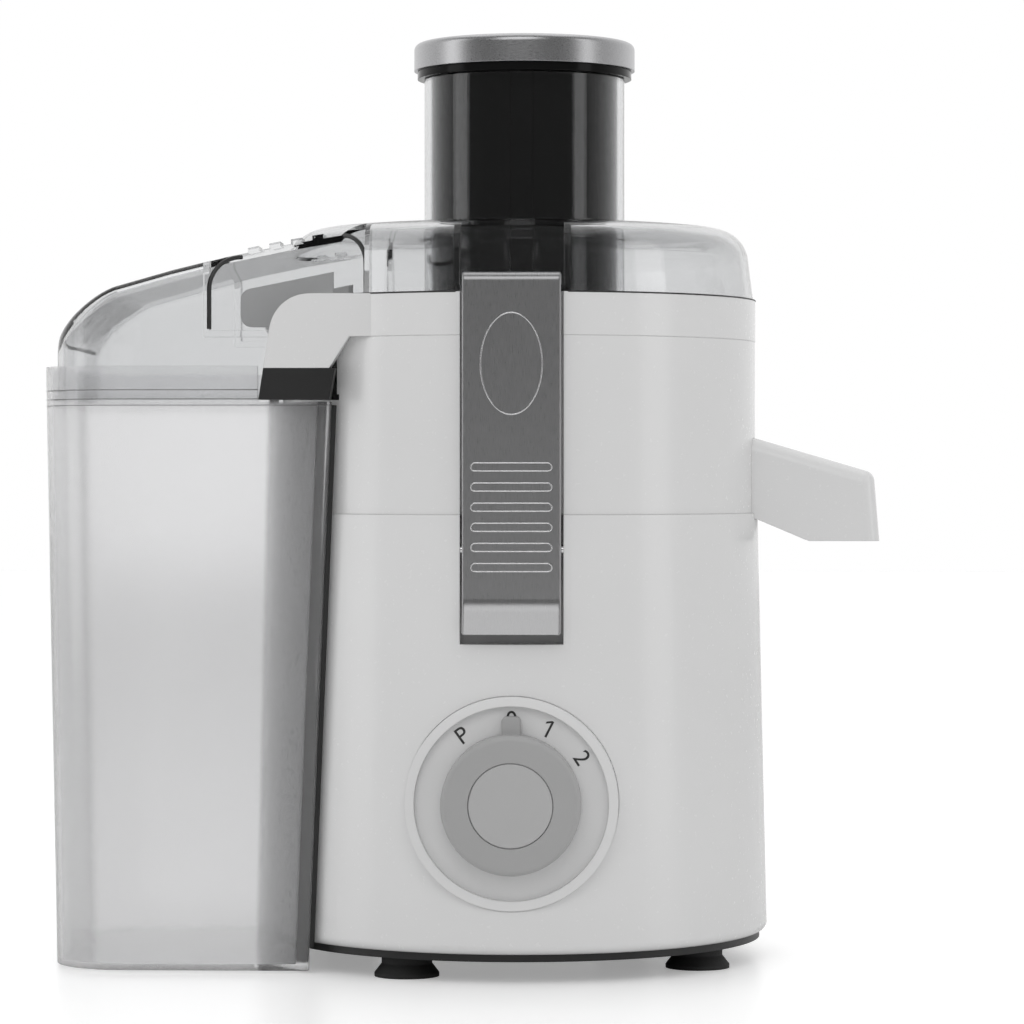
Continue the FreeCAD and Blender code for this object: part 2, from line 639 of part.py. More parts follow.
def make_upper_housing():
    inner = HOUSING_RADIUS - HOUSING_WALL
    wall = tube(HOUSING_RADIUS, inner, Z_BASE_TOP, Z_HOUSING_TOP)
    ledge_inner = BOWL_RADIUS + BOWL_GAP
    ledge = tube(inner + HOUSING_WALL / 2, ledge_inner, Z_LEDGE_TOP - HOUSING_LEDGE_HEIGHT, Z_LEDGE_TOP)
    filled = post(HOUSING_RADIUS, Z_BASE_TOP, Z_HOUSING_TOP)
    backs = both_sides(latch_channel(HOUSING_WALL, Z_BASE_TOP, Z_HOUSING_TOP))
    housing = wall.fuse([ledge] + [back.common(filled) for back in backs])
    holes = both_sides(latch_channel(0, Z_BASE_TOP, Z_HOUSING_TOP))
    holes.append(spout_outside(SEAT_GAP))
    return housing.cut(holes).removeSplitter()


def make_bowl_collar():
    ring = post(COLLAR_RADIUS, Z_HOUSING_TOP, Z_COLLAR_TOP)
    arm_outside = ARM_INSIDE + ARM_DEPTH
    arm = slab_y([
        (-ARM_THROAT / 2, Z_COLLAR_TOP),
        (-(ARM_REACH - ARM_LEAN), Z_COLLAR_TOP, ARM_SHOULDER_ROUND),
        (-ARM_REACH, Z_PAD_TOP),
        (-ARM_INNER, Z_PAD_TOP),
        (-ARM_THROAT, Z_HOUSING_TOP),
        (-ARM_THROAT / 2, Z_HOUSING_TOP),
    ], -arm_outside, -ARM_INSIDE)
    housing_room = post(HOUSING_RADIUS + SEAT_GAP, Z_PAD_TOP, Z_HOUSING_TOP)
    collar = ring.fuse([side.cut(housing_room) for side in mirrored(arm)])
    holes = [post(COLLAR_RADIUS - COLLAR_WIDTH, Z_HOUSING_TOP, Z_COLLAR_TOP)]
    holes += both_sides(latch_channel(0, Z_HOUSING_TOP, Z_COLLAR_TOP))
    window_floor = Z_COLLAR_TOP - PULP_WINDOW_DEPTH
    holes.append(box(-FAR, 0, -PULP_WINDOW_HALF, PULP_WINDOW_HALF, window_floor, Z_COLLAR_TOP))
    collar = collar.cut(holes)
    cheek = slab_y([
        (-ARM_THROAT, window_floor),
        (-ARM_THROAT, Z_COLLAR_TOP + CHEEK_ROOT_RISE),
        (-CHEEK_REACH, Z_COLLAR_TOP + CHEEK_END_RISE, CHEEK_ROUND),
        (-CHEEK_REACH, window_floor, CHEEK_ROUND),
    ], -(PULP_WINDOW_HALF + CHEEK_WALL), -PULP_WINDOW_HALF)
    bowl_room = post(COLLAR_RADIUS - COLLAR_WIDTH, window_floor, FAR)
    return collar.fuse([side.cut(bowl_room) for side in mirrored(cheek)]).removeSplitter()


def make_bowl_gasket():
    inner = SEAL_RADIUS + NECK_WALL + SEAT_GAP
    return tube(BOWL_NECK_INNER - SEAT_GAP, inner, Z_DECK_TOP, Z_BOWL_FLOOR + BOWL_WALL)


def make_arm_pad():
    lean = ARM_LEAN * PAD_HEIGHT / (COLLAR_HEIGHT + ARM_DROP)
    return slab_y([
        (-ARM_INNER + PAD_OVERHANG, Z_PAD_TOP),
        (-ARM_REACH, Z_PAD_TOP),
        (-ARM_REACH - lean, Z_PAD_BOTTOM),
        (-ARM_INNER, Z_PAD_BOTTOM),
    ], -(ARM_INSIDE + ARM_DEPTH), -ARM_INSIDE)


# Juice bowl and spout

def spout_profile(grow):
    """(x, z) outline of the spout seen from the front, grown outward."""
    bottom = Z_BASE_TOP + SPOUT_ROOT_BOTTOM - grow
    top = Z_BASE_TOP + SPOUT_ROOT_TOP + grow
    start = BOWL_RADIUS - BOWL_WALL
    return [
        (start, bottom),
        (HOUSING_RADIUS, bottom),
        (SPOUT_MOUTH_START - grow, Z_BASE_TOP + SPOUT_MOUTH),
        (SPOUT_TIP + grow, Z_BASE_TOP + SPOUT_MOUTH),
        (SPOUT_TIP - SPOUT_TIP_LEAN + grow, Z_BASE_TOP + SPOUT_TIP_TOP + grow, SPOUT_TIP_ROUND),
        (HOUSING_RADIUS, top),
        (start, top),
    ]


def spout_outside(grow):
    """The spout's outer form, rounded along its top and tip."""
    half = SPOUT_HALF_WIDTH + grow
    block = slab_y(spout_profile(grow), -half, half)

    def upper_edge(p):
        return abs(p.y) > half - TOUCH and p.x > HOUSING_RADIUS and p.z > Z_BASE_TOP + NEAR
    return fillet_where(block, SPOUT_ROUND, upper_edge)


def make_juice_spout():
    inside_half = SPOUT_HALF_WIDTH - SPOUT_WALL
    points = spout_profile(-SPOUT_WALL)
    mouth_z = Z_BASE_TOP + SPOUT_MOUTH - SPOUT_WALL
    points[2] = (points[2][0], mouth_z)
    points[3] = (points[3][0], mouth_z)
    points[4] = (points[4][0], points[4][1], SPOUT_INSIDE_ROUND)
    channel = slab_y(points, -inside_half, inside_half)
    bowl = post(BOWL_RADIUS + SEAT_GAP, 0, FAR)
    return spout_outside(0).cut([channel, bowl])


def make_juice_bowl():
    floor_top = Z_BOWL_FLOOR + BOWL_WALL
    inner = BOWL_RADIUS - BOWL_WALL
    flange_radius = BOWL_RADIUS + BOWL_FLANGE
    flange_top = Z_LEDGE_TOP + BOWL_FLANGE_HEIGHT
    top = Z_HOUSING_TOP - SEAT_GAP
    bowl = turned([
        (BOWL_NECK_INNER, Z_BOWL_FLOOR),
        (BOWL_RADIUS, Z_BOWL_FLOOR, 2 * BOWL_WALL),
        (BOWL_RADIUS, Z_LEDGE_TOP),
        (flange_radius, Z_LEDGE_TOP),
        (flange_radius, flange_top),
        (BOWL_RADIUS, flange_top),
        (BOWL_RADIUS, top),
        (inner, top),
        (inner, floor_top, BOWL_WALL),
        (BOWL_NECK_RADIUS, floor_top),
        (BOWL_NECK_RADIUS, Z_BOWL_FLOOR + BOWL_NECK_HEIGHT),
        (BOWL_NECK_INNER, Z_BOWL_FLOOR + BOWL_NECK_HEIGHT),
    ])
    door_top = floor_top + SPOUT_DOOR_HEIGHT
    door = box(inner - BOWL_WALL, FAR, -SPOUT_DOOR_HALF, SPOUT_DOOR_HALF, floor_top, door_top)
    clear = both_sides(latch_channel(HOUSING_WALL + BOWL_GAP / 2, 0, FAR))
    return bowl.cut([door] + clear)


# Lid, chute and pusher

def hood_section(x, half, top, edge):
    """Upright cut across the hood, with rounded top corners."""
    points = [(-half, Z_SKIRT_BOTTOM), (half, Z_SKIRT_BOTTOM), (half, top, edge), (-half, top, edge)]
    return outline(points, lambda y, z: V(x, y, z)).OuterWire


def hood_form(inset):
    """The pulp hood's outer form, from inside the dome to its round nose, drawn in by an inset."""
    half = HOOD_HALF - inset
    corner = HOOD_CORNER - inset
    edge = HOOD_EDGE_ROUND - inset
    nose_x = HOOD_REACH - HOOD_CORNER
    crown = Z_LID_TOP - HOOD_CROWN_DROP - inset
    knee = Z_COLLAR_TOP + HOOD_KNEE_RISE - inset
    shoulder = Z_COLLAR_TOP - HOOD_SHOULDER_DROP - inset
    sections = []
    for step in range(HOOD_NOSE_STEPS + 1):
        share = math.sin(math.pi / 2 * step / HOOD_NOSE_STEPS)
        drawn_in = corner * (1 - math.cos(math.pi / 2 * step / HOOD_NOSE_STEPS))
        fullness = (1 - min(share ** HOOD_NOSE_POWER, 1)) ** (1 / HOOD_NOSE_POWER)
        top = shoulder + (knee - shoulder) * fullness
        sections.append(hood_section(-nose_x - corner * share, half - drawn_in, top, edge))
    nose = upright(Part.makeLoft(sections, True, False))
    spans = []
    for step in range(HOOD_ROOF_STEPS):
        share = step / HOOD_ROOF_STEPS
        x = HOOD_CROWN_X + share * (nose_x - HOOD_CROWN_X)
        top = crown + share * (knee - crown) + 4 * HOOD_ARCH * share * (1 - share)
        spans.append(hood_section(-x, half, top, edge))
    roof = upright(Part.makeLoft(spans + [sections[0]], True, True))
    return roof.fuse(nose)


def finger_recess(grow):
    """Hollow in each side of the hood that the fingers lift it by, grown by a wall."""
    y = HOOD_HALF - RECESS_DEPTH - grow
    floor = Z_COLLAR_TOP - RECESS_FLOOR_DROP - grow
    return mirrored(box(-(RECESS_START + grow), -(RECESS_END - grow), -FAR, -y, floor, FAR))


def latch_notch(grow):
    """Hollow in the lid that the latch's hook goes into, grown by a wall."""
    half = CHANNEL_HALF + grow
    back = LATCH_BACK - LATCH_HOOK_REACH - LATCH_HOOK_ROOM - grow
    return both_sides(box(-half, half, -FAR, -back, Z_LATCH_LEDGE - grow, FAR))


def grip_teeth():
    """Ridges across the hood's top beside the finger recesses."""
    raised = hood_form(-GRIP_HEIGHT)
    inner = HOOD_HALF - RECESS_DEPTH - GRIP_LENGTH
    teeth = []
    for step in range(GRIP_COUNT):
        x = -GRIP_START + GRIP_PITCH * step
        tooth = box(x, x + GRIP_WIDTH, -(HOOD_HALF - RECESS_DEPTH), -inner, Z_COLLAR_TOP, FAR)
        teeth += [side.common(raised) for side in mirrored(tooth)]
    return teeth


def lid_dome(inset):
    """The round part of the lid, drawn in by an inset."""
    top = Z_LID_TOP - inset
    return turned([
        (0, Z_COLLAR_TOP),
        (LID_RADIUS - inset, Z_COLLAR_TOP),
        (LID_RADIUS - LID_LEAN - inset, top - LID_TOP_FALL, LID_ROUND - inset),
        (CHUTE_RADIUS, top),
        (0, top),
    ])


def make_clear_lid():
    hood = hood_form(0)
    bead_top = Z_SKIRT_BOTTOM + HOOD_BEAD_HEIGHT
    bead = hood_form(-HOOD_BEAD).common(box(-FAR, 0, -FAR, FAR, Z_SKIRT_BOTTOM, bead_top))
    outside = lid_dome(0).fuse([hood, bead] + grip_teeth()).cut(finger_recess(0))
    inside = lid_dome(LID_WALL).fuse(hood_form(LID_WALL))
    inside = inside.cut(finger_recess(LID_WALL) + latch_notch(LID_WALL))
    holes = latch_notch(0) + both_sides(latch_channel(0, Z_COLLAR_TOP, FAR))
    holes.append(post(COLLAR_RADIUS + SLIDE_GAP, 0, Z_COLLAR_TOP))
    holes.append(post(CHUTE_RADIUS + SEAT_GAP, 0, FAR, CHUTE_OFFSET))
    holes += arm_room()
    return outside.cut([inside] + holes).removeSplitter()


def arm_room():
    """Space round the arms that the lid keeps clear of."""
    return mirrored(box(-FAR, 0, -FAR, -ARM_INSIDE + SLIDE_GAP, 0, Z_COLLAR_TOP))


def make_feed_chute():
    chute = post(CHUTE_RADIUS, Z_CHUTE_FOOT, Z_CHUTE_TOP, CHUTE_OFFSET)
    flange = post(CHUTE_RADIUS + CHUTE_FLANGE, Z_LID_TOP, Z_LID_TOP + CHUTE_FLANGE_HEIGHT, CHUTE_OFFSET)
    bore = post(CHUTE_BORE, Z_CHUTE_FOOT, Z_CHUTE_TOP, CHUTE_OFFSET)
    key = box(CHUTE_OFFSET - KEY_WIDTH / 2, CHUTE_OFFSET + KEY_WIDTH / 2,
              -CHUTE_BORE - CHUTE_WALL / 2, -CHUTE_BORE + KEY_HEIGHT, Z_CHUTE_FOOT, Z_CHUTE_TOP)
    return chute.fuse(flange).cut(bore).fuse(key)


def make_pusher():
    plunger = post(PUSHER_RADIUS, Z_PUSHER_FOOT, Z_CAP, CHUTE_OFFSET)
    flange = post(PUSHER_FLANGE, Z_PUSHER_FLANGE, Z_CAP, CHUTE_OFFSET)
    hollow = post(PUSHER_RADIUS - PUSHER_WALL, Z_PUSHER_FOOT + PUSHER_WALL, Z_CAP, CHUTE_OFFSET)
    half = KEY_WIDTH / 2 + SLIDE_GAP
    groove = box(CHUTE_OFFSET - half, CHUTE_OFFSET + half, -FAR, -(CHUTE_BORE - KEY_HEIGHT - SLIDE_GAP),
                 Z_PUSHER_FOOT, Z_PUSHER_FLANGE)
    return plunger.cut(groove).fuse(flange).cut(hollow)


def make_pusher_cap():
    top = Z_CAP + CAP_HEIGHT
    cap = turned([(0, Z_CAP), (CAP_RADIUS, Z_CAP), (CAP_RADIUS, top, CAP_ROUND), (0, top)])
    cap.translate(V(CHUTE_OFFSET, 0, 0))
    return cap


# Pulp bin

def bin_form(inset, floor_z):
    """The bin's outer form up to its high rim, drawn in by an inset."""
    def plan(z, draft):
        reach = BIN_REACH - inset - draft
        half = BIN_HALF_WIDTH - inset - draft
        corner = BIN_CORNER - inset
        points = [(0, -half), (0, half), (-reach, half, corner), (-reach, -half, corner)]
        return outline(points, lambda x, y: V(x, y, z)).OuterWire
    block = upright(Part.makeLoft([plan(floor_z, BIN_DRAFT), plan(Z_BIN_RIM, 0)], True, True))
    body_bottom = BASE_BOTTOM_RADIUS + BIN_BODY_GAP_BOTTOM + inset
    body_top = BASE_TOP_RADIUS + BIN_BODY_GAP_TOP + inset
    body = Part.makeCone(body_bottom, body_top, Z_BIN_RIM - floor_z, V(0, 0, floor_z))
    middle = (floor_z + Z_BIN_RIM) / 2

    def body_corner(p):
        upright_edge = abs(p.z - middle) < NEAR
        return upright_edge and p.x > -body_bottom and abs(p.y) > BIN_HALF_WIDTH / 2
    form = block.cut(body)
    left = max(form.Solids, key=lambda solid: -solid.CenterOfMass.x)
    return fillet_where(left, BIN_EDGE_ROUND, body_corner)


def make_pulp_bin():
    outside = bin_form(0, BIN_FLOOR_LIFT)
    inside = bin_form(BIN_WALL, BIN_FLOOR_LIFT + BIN_WALL)
    step = box(-BIN_STEP_X, 0, -FAR, FAR, Z_BIN_LOW_RIM, FAR)
    return outside.cut([inside, step]).removeSplitter()


# Latches

def make_latch():
    """The front latch: a bent plate with a hook, a hinge barrel, finger ribs and an oval."""
    foot = Z_PIVOT - LATCH_TAIL
    lip_top = foot + LATCH_LIP_HEIGHT
    hook_under = Z_LATCH_LEDGE + SLIDE_GAP
    top = hook_under + LATCH_HOOK_HEIGHT
    tip = LATCH_BACK - LATCH_HOOK_REACH
    plate = slab_x([
        (-(LATCH_FACE + LATCH_LIP_FLARE), foot),
        (-LATCH_FACE, lip_top, LATCH_LIP_HEIGHT),
        (-LATCH_FACE, top, LATCH_THICKNESS),
        (-tip, top),
        (-tip, hook_under),
        (-LATCH_BACK, hook_under),
        (-LATCH_BACK, lip_top),
        (-(LATCH_BACK + LATCH_LIP_FLARE), foot),
    ], LATCH_HALF)
    face_edges = -(LATCH_FACE - LATCH_EDGE_ROUND)

    def outer_edge(p):
        return abs(p.x) > LATCH_HALF - LATCH_EDGE_ROUND / 4 and p.y < face_edges
    plate = fillet_where(plate, LATCH_EDGE_ROUND, outer_edge)
    barrel = rod(LATCH_BARREL_RADIUS, LATCH_HALF - LATCH_EDGE_ROUND, -PIVOT_Y, Z_PIVOT)

    raised = [oval_pad()]
    for step in range(RIB_COUNT):
        raised.append(rib_pad(Z_PIVOT + RIB_TOP - RIB_PITCH * step))
    bore = rod(PIN_RADIUS + RUN_GAP, LATCH_HALF, -PIVOT_Y, Z_PIVOT)
    return plate.fuse([barrel] + raised).cut(bore)


def oval_pad():
    ellipse = Part.Ellipse(V(0, 0, 0), OVAL_HALF_HEIGHT, OVAL_HALF_WIDTH).toShape()
    pad = Part.Face(Part.Wire(ellipse)).extrude(V(0, 0, OVAL_RELIEF + LATCH_THICKNESS / 2))
    pad.rotate(V(0, 0, 0), UP, 90)
    pad.rotate(V(0, 0, 0), V(1, 0, 0), 90)
    pad.translate(V(0, -(LATCH_FACE - LATCH_THICKNESS / 2), Z_PIVOT + OVAL_CENTRE))
    return pad


def rib_pad(z):
    half = RIB_LENGTH / 2
    low = z - RIB_WIDTH / 2
    high = z + RIB_WIDTH / 2
    end = RIB_WIDTH / 2 - TOUCH
    points = [(-half, low, end), (half, low, end), (half, high, end), (-half, high, end)]
    return slab_y(points, -(LATCH_FACE + RIB_RELIEF), -(LATCH_FACE - LATCH_THICKNESS / 2))


def make_latch_pin():
    return rod(PIN_RADIUS, CHANNEL_HALF + PIN_BITE, -PIVOT_Y, Z_PIVOT)


# Dial and switch

def facing_front(shape):
    """A shape made about Z, turned so that its top faces the front, at the dial's centre."""
    shape.rotate(V(0, 0, 0), V(1, 0, 0), 90)
    shape.translate(V(0, 0, DIAL_HEIGHT))
    return shape


KNOB_BACK = DIAL_PLATE + SLIDE_GAP
KNOB_FACE = KNOB_BACK + KNOB_DEPTH
SHAFT_FRONT = KNOB_FACE - KNOB_CAP_DEPTH - KNOB_ROUND


def make_dial_bezel():
    inner = BEZEL_RADIUS - BEZEL_RING
    return facing_front(post(BEZEL_RADIUS, BEZEL_BACK, DIAL_FACE).cut([
        post(inner, DIAL_PLATE, DIAL_FACE),
        post(SWITCH_SHAFT_RADIUS + RUN_GAP, BEZEL_BACK, DIAL_FACE),
    ]))


def make_dial_knob():
    knob = turned([
        (0, KNOB_BACK),
        (KNOB_RADIUS, KNOB_BACK),
        (KNOB_RADIUS, KNOB_FACE, KNOB_ROUND),
        (0, KNOB_FACE),
    ])
    half = POINTER_WIDTH / 2
    tip = slab_z([(-half, 0), (half, 0), (half, POINTER_REACH, half / 2), (-half, POINTER_REACH, half / 2)],
                 KNOB_BACK, KNOB_BACK + POINTER_DEPTH)
    return facing_front(knob.fuse(tip).cut([
        post(KNOB_CAP_RADIUS + SEAT_GAP, KNOB_FACE - KNOB_CAP_DEPTH, KNOB_FACE),
        post(SWITCH_SHAFT_RADIUS, KNOB_BACK, SHAFT_FRONT),
    ]))


def make_knob_cap():
    return facing_front(turned([
        (0, KNOB_FACE - KNOB_CAP_DEPTH),
        (KNOB_CAP_RADIUS, KNOB_FACE - KNOB_CAP_DEPTH),
        (KNOB_CAP_RADIUS, KNOB_FACE, KNOB_CAP_DEPTH / 4),
        (0, KNOB_FACE),
    ]))


def make_switch_shaft():
    return facing_front(post(SWITCH_SHAFT_RADIUS, BEZEL_BACK - SWITCH_SHAFT_BITE, SHAFT_FRONT))


def make_rotary_switch():
    half = SWITCH_SIZE / 2
    body = box(-half, half, -half, half, BEZEL_BACK - SWITCH_DEPTH, BEZEL_BACK)
    bite = BEZEL_BACK - SWITCH_SHAFT_BITE - SLIDE_GAP
    return facing_front(body.cut(post(SWITCH_SHAFT_RADIUS + RUN_GAP, bite, BEZEL_BACK)))


# Motor

def sector(inner, outer, middle_angle, half_angle, z0, z1):
    """Part of a ring about the motor axis."""
    face = outline([(inner, z0), (outer, z0), (outer, z1), (inner, z1)], lambda r, z: V(r, 0, z))
    return spun(upright(face.revolve(V(0, 0, 0), UP, 2 * half_angle)), middle_angle - half_angle)


LEG_MIDDLE = (COIL_HALF_ANGLE + COIL_WINDOW_HALF_ANGLE) / 2
LEG_HALF = (COIL_HALF_ANGLE - COIL_WINDOW_HALF_ANGLE) / 2
Z_COMMUTATOR_TOP = Z_STATOR_BOTTOM - ARMATURE_HEAD - COMMUTATOR_DROP
Z_COMMUTATOR = Z_COMMUTATOR_TOP - COMMUTATOR_HEIGHT
Z_BRUSH = Z_COMMUTATOR + (COMMUTATOR_HEIGHT - BRUSH_HEIGHT) / 2
BRUSH_TIP = COMMUTATOR_RADIUS + SLIDE_GAP
BRUSH_HOLDER_END = BRUSH_TIP + BRUSH_LENGTH + 2 * BRUSH_HOLDER_WALL


def bracket_screw_holes():
    return [post(MOTOR_SCREW_RADIUS + SEAT_GAP, 0, Z_BRACKET_TOP, 0, y) for y in (-LEG_CIRCLE, LEG_CIRCLE)]


def make_stator_core():
    core = tube(STATOR_RADIUS, ARMATURE_RADIUS + AIR_GAP, Z_STATOR_BOTTOM, Z_STATOR_TOP)
    inner = COIL_INNER - SEAT_GAP
    outer = COIL_OUTER + SEAT_GAP
    half_angle = LEG_HALF + COIL_SLACK_ANGLE
    holes = bracket_screw_holes()
    for side in (-1, 1):
        slot = sector(inner, outer, side * LEG_MIDDLE, half_angle, Z_STATOR_BOTTOM, Z_STATOR_TOP)
        holes += both_sides(slot)
    return core.cut(holes)


def make_stator_coil():
    bottom = Z_STATOR_BOTTOM - COIL_HEAD
    top = Z_STATOR_TOP + COIL_HEAD
    coil = sector(COIL_INNER, COIL_OUTER, 0, COIL_HALF_ANGLE, bottom, top)
    window = sector(COIL_INNER, COIL_OUTER, 0, COIL_WINDOW_HALF_ANGLE, Z_STATOR_BOTTOM, Z_STATOR_TOP)
    return coil.cut(window)


def make_armature():
    stack = post(ARMATURE_RADIUS, Z_STATOR_BOTTOM, Z_STATOR_TOP)
    slot = box(ARMATURE_RADIUS - ARMATURE_SLOT_DEPTH, FAR, -ARMATURE_SLOT_WIDTH / 2, ARMATURE_SLOT_WIDTH / 2,
               Z_STATOR_BOTTOM, Z_STATOR_TOP)
    heads = post(ARMATURE_HEAD_RADIUS, Z_STATOR_BOTTOM - ARMATURE_HEAD, Z_STATOR_TOP + ARMATURE_HEAD)
    shaft = post(SHAFT_RADIUS, 0, FAR)
    return stack.cut(ring_of(slot, ARMATURE_SLOTS)).fuse(heads).cut(shaft)


def make_commutator():
    drum = tube(COMMUTATOR_RADIUS, SHAFT_RADIUS, Z_COMMUTATOR, Z_COMMUTATOR_TOP)
    half = COMMUTATOR_SLOT / 2
    slot = box(COMMUTATOR_RADIUS - COMMUTATOR_SLOT, FAR, -half, half, Z_COMMUTATOR, Z_COMMUTATOR_TOP)
    return drum.cut(ring_of(slot, COMMUTATOR_BARS))


def make_brush():
    half = BRUSH_WIDTH / 2
    return box(BRUSH_TIP, BRUSH_TIP + BRUSH_LENGTH, -half, half, Z_BRUSH, Z_BRUSH + BRUSH_HEIGHT)


def make_brush_holder():
    half = BRUSH_WIDTH / 2 + BRUSH_HOLDER_WALL
    brush_top = Z_BRUSH + BRUSH_HEIGHT
    top = brush_top + BRUSH_HOLDER_WALL
    block = box(BRUSH_HOLDER_START, BRUSH_HOLDER_END, -half, half, Z_LOWER_BAR_TOP, top)
    room = half - BRUSH_HOLDER_WALL + SEAT_GAP
    end = BRUSH_HOLDER_END - BRUSH_HOLDER_WALL
    way = box(0, end, -room, room, Z_BRUSH - SEAT_GAP, brush_top + SEAT_GAP)
    return block.cut(way)


def make_bearing(z):
    return tube(BEARING_RADIUS, SHAFT_RADIUS + RUN_GAP, z, z + BEARING_HEIGHT)


def bearing_cup(lip_z, seat_z):
    """Solid and hole of a cup that holds a bearing over a lip."""
    outer = BEARING_RADIUS + BEARING_CUP_WALL
    cup = post(outer, lip_z, seat_z + BEARING_HEIGHT)
    hole = post(BEARING_RADIUS, seat_z, seat_z + BEARING_HEIGHT).fuse(post(BEARING_LIP_BORE, lip_z, seat_z))
    return cup, hole


def make_upper_bracket():
    plate = post(MOTOR_POST_CIRCLE + DAMPER_RADIUS, Z_BRACKET_UNDER, Z_BRACKET_TOP)
    cup, seat = bearing_cup(Z_BRACKET_UNDER - BEARING_LIP, Z_BRACKET_UNDER)
    legs = [post(LEG_RADIUS, Z_STATOR_TOP, Z_BRACKET_TOP, 0, y) for y in (-LEG_CIRCLE, LEG_CIRCLE)]
    screw = post(MOTOR_SCREW_RADIUS + SEAT_GAP, 0, FAR, MOTOR_POST_CIRCLE)
    holes = ring_of(screw, MOTOR_POST_COUNT, MOTOR_POST_FIRST_ANGLE) + bracket_screw_holes()
    holes += [post(LEG_RADIUS, Z_BRACKET_UNDER, Z_BRACKET_TOP, x, 0) for x in (-LEG_CIRCLE, LEG_CIRCLE)]
    return plate.fuse([cup] + legs).cut([seat] + holes)


def make_lower_bracket():
    long_half = LEG_CIRCLE + LEG_RADIUS
    bar = box(-BRACKET_HALF_WIDTH, BRACKET_HALF_WIDTH, -long_half, long_half, Z_LOWER_BAR, Z_LOWER_BAR_TOP)
    side = BRUSH_WIDTH / 2 + 2 * BRUSH_HOLDER_WALL
    cross = box(-BRUSH_HOLDER_END, BRUSH_HOLDER_END, -side, side, Z_LOWER_BAR, Z_LOWER_BAR_TOP)
    cup, seat = bearing_cup(Z_LOWER_BEARING - BEARING_LIP, Z_LOWER_BEARING)
    legs = [post(LEG_RADIUS, Z_LOWER_BAR, Z_STATOR_BOTTOM, 0, y) for y in (-LEG_CIRCLE, LEG_CIRCLE)]
    return bar.fuse([cross, cup] + legs).cut([seat] + bracket_screw_holes())


def make_motor_screws():
    head_under = Z_BRACKET_UNDER - MOTOR_SCREW_HEAD_HEIGHT
    head = post(MOTOR_SCREW_HEAD, head_under, Z_BRACKET_UNDER, MOTOR_POST_CIRCLE)
    shank = post(MOTOR_SCREW_RADIUS, Z_BRACKET_UNDER, Z_DAMPER_TOP + MOTOR_SCREW_BITE, MOTOR_POST_CIRCLE)
    screws = ring_of(head.fuse(shank), MOTOR_POST_COUNT, MOTOR_POST_FIRST_ANGLE)
    for y in (-LEG_CIRCLE, LEG_CIRCLE):
        long_head = post(MOTOR_SCREW_HEAD, Z_LOWER_BAR - MOTOR_SCREW_HEAD_HEIGHT, Z_LOWER_BAR, 0, y)
        screws.append(long_head.fuse(post(MOTOR_SCREW_RADIUS, Z_LOWER_BAR, Z_BRACKET_TOP, 0, y)))
    return group(screws)


def make_damper():
    return tube(DAMPER_RADIUS, MOTOR_SCREW_RADIUS + SEAT_GAP, Z_BRACKET_TOP, Z_DAMPER_TOP, MOTOR_POST_CIRCLE)


def make_cooling_fan():
    hub = post(FAN_HUB_RADIUS, Z_FAN, Z_FAN_TOP)
    disc = post(FAN_RADIUS, Z_FAN, Z_FAN + FAN_DISC)
    half = FAN_BLADE_WIDTH / 2
    blade = box(FAN_HUB_RADIUS / 2, FAN_RADIUS - FAN_BLADE_WIDTH, -half, half, Z_FAN, Z_FAN_TOP)
    return hub.fuse([disc] + ring_of(blade, FAN_BLADES)).cut(post(SHAFT_RADIUS, 0, FAR))


def make_motor_shaft():
    return post(SHAFT_RADIUS, Z_SHAFT_BOTTOM, Z_CUTTER_TOP + NUT_BITE)


def make_shaft_seal():
    return tube(SEAL_RADIUS, SHAFT_RADIUS + RUN_GAP, Z_DECK_UNDER, Z_DECK_TOP + SEAL_LIP_HEIGHT)


# Drive, basket and cutter

def coupling_splines(slack):
    """Bars along the coupling's rim, thinner by a slack on each side."""
    half = COUPLING_SPLINE_WIDTH / 2 - slack
    inner = COUPLING_RADIUS - COUPLING_SPLINE_DEPTH + slack
    outer = COUPLING_RADIUS + HUB_BOSS_WALL / 2
    bar = box(inner, outer, -half, half, Z_COUPLING_TOP - HUB_BOSS_DEPTH, Z_COUPLING_TOP)
    return ring_of(bar, COUPLING_SPLINES)


def make_drive_coupling():
    drum = post(COUPLING_RADIUS, Z_COUPLING, Z_COUPLING_TOP)
    flange = post(COUPLING_RADIUS + COUPLING_FLANGE, Z_COUPLING, Z_COUPLING + COUPLING_FLANGE_HEIGHT)
    return drum.fuse(flange).cut(coupling_splines(0) + [post(SHAFT_RADIUS, 0, FAR)])


def make_basket_hub():
    under = Z_BASKET - HUB_TOP
    boss_inner = COUPLING_RADIUS + SEAT_GAP
    boss = tube(boss_inner + HUB_BOSS_WALL, boss_inner, Z_COUPLING_TOP - HUB_BOSS_DEPTH, under)
    disc = post(HUB_SKIRT_RADIUS, under, Z_BASKET)
    skirt = tube(HUB_SKIRT_RADIUS, HUB_SKIRT_RADIUS - HUB_SKIRT_WALL, Z_BASKET - HUB_SKIRT_DEPTH, Z_BASKET)
    return disc.fuse([boss, skirt] + coupling_splines(SEAT_GAP)).cut(post(SHAFT_RADIUS, 0, FAR))


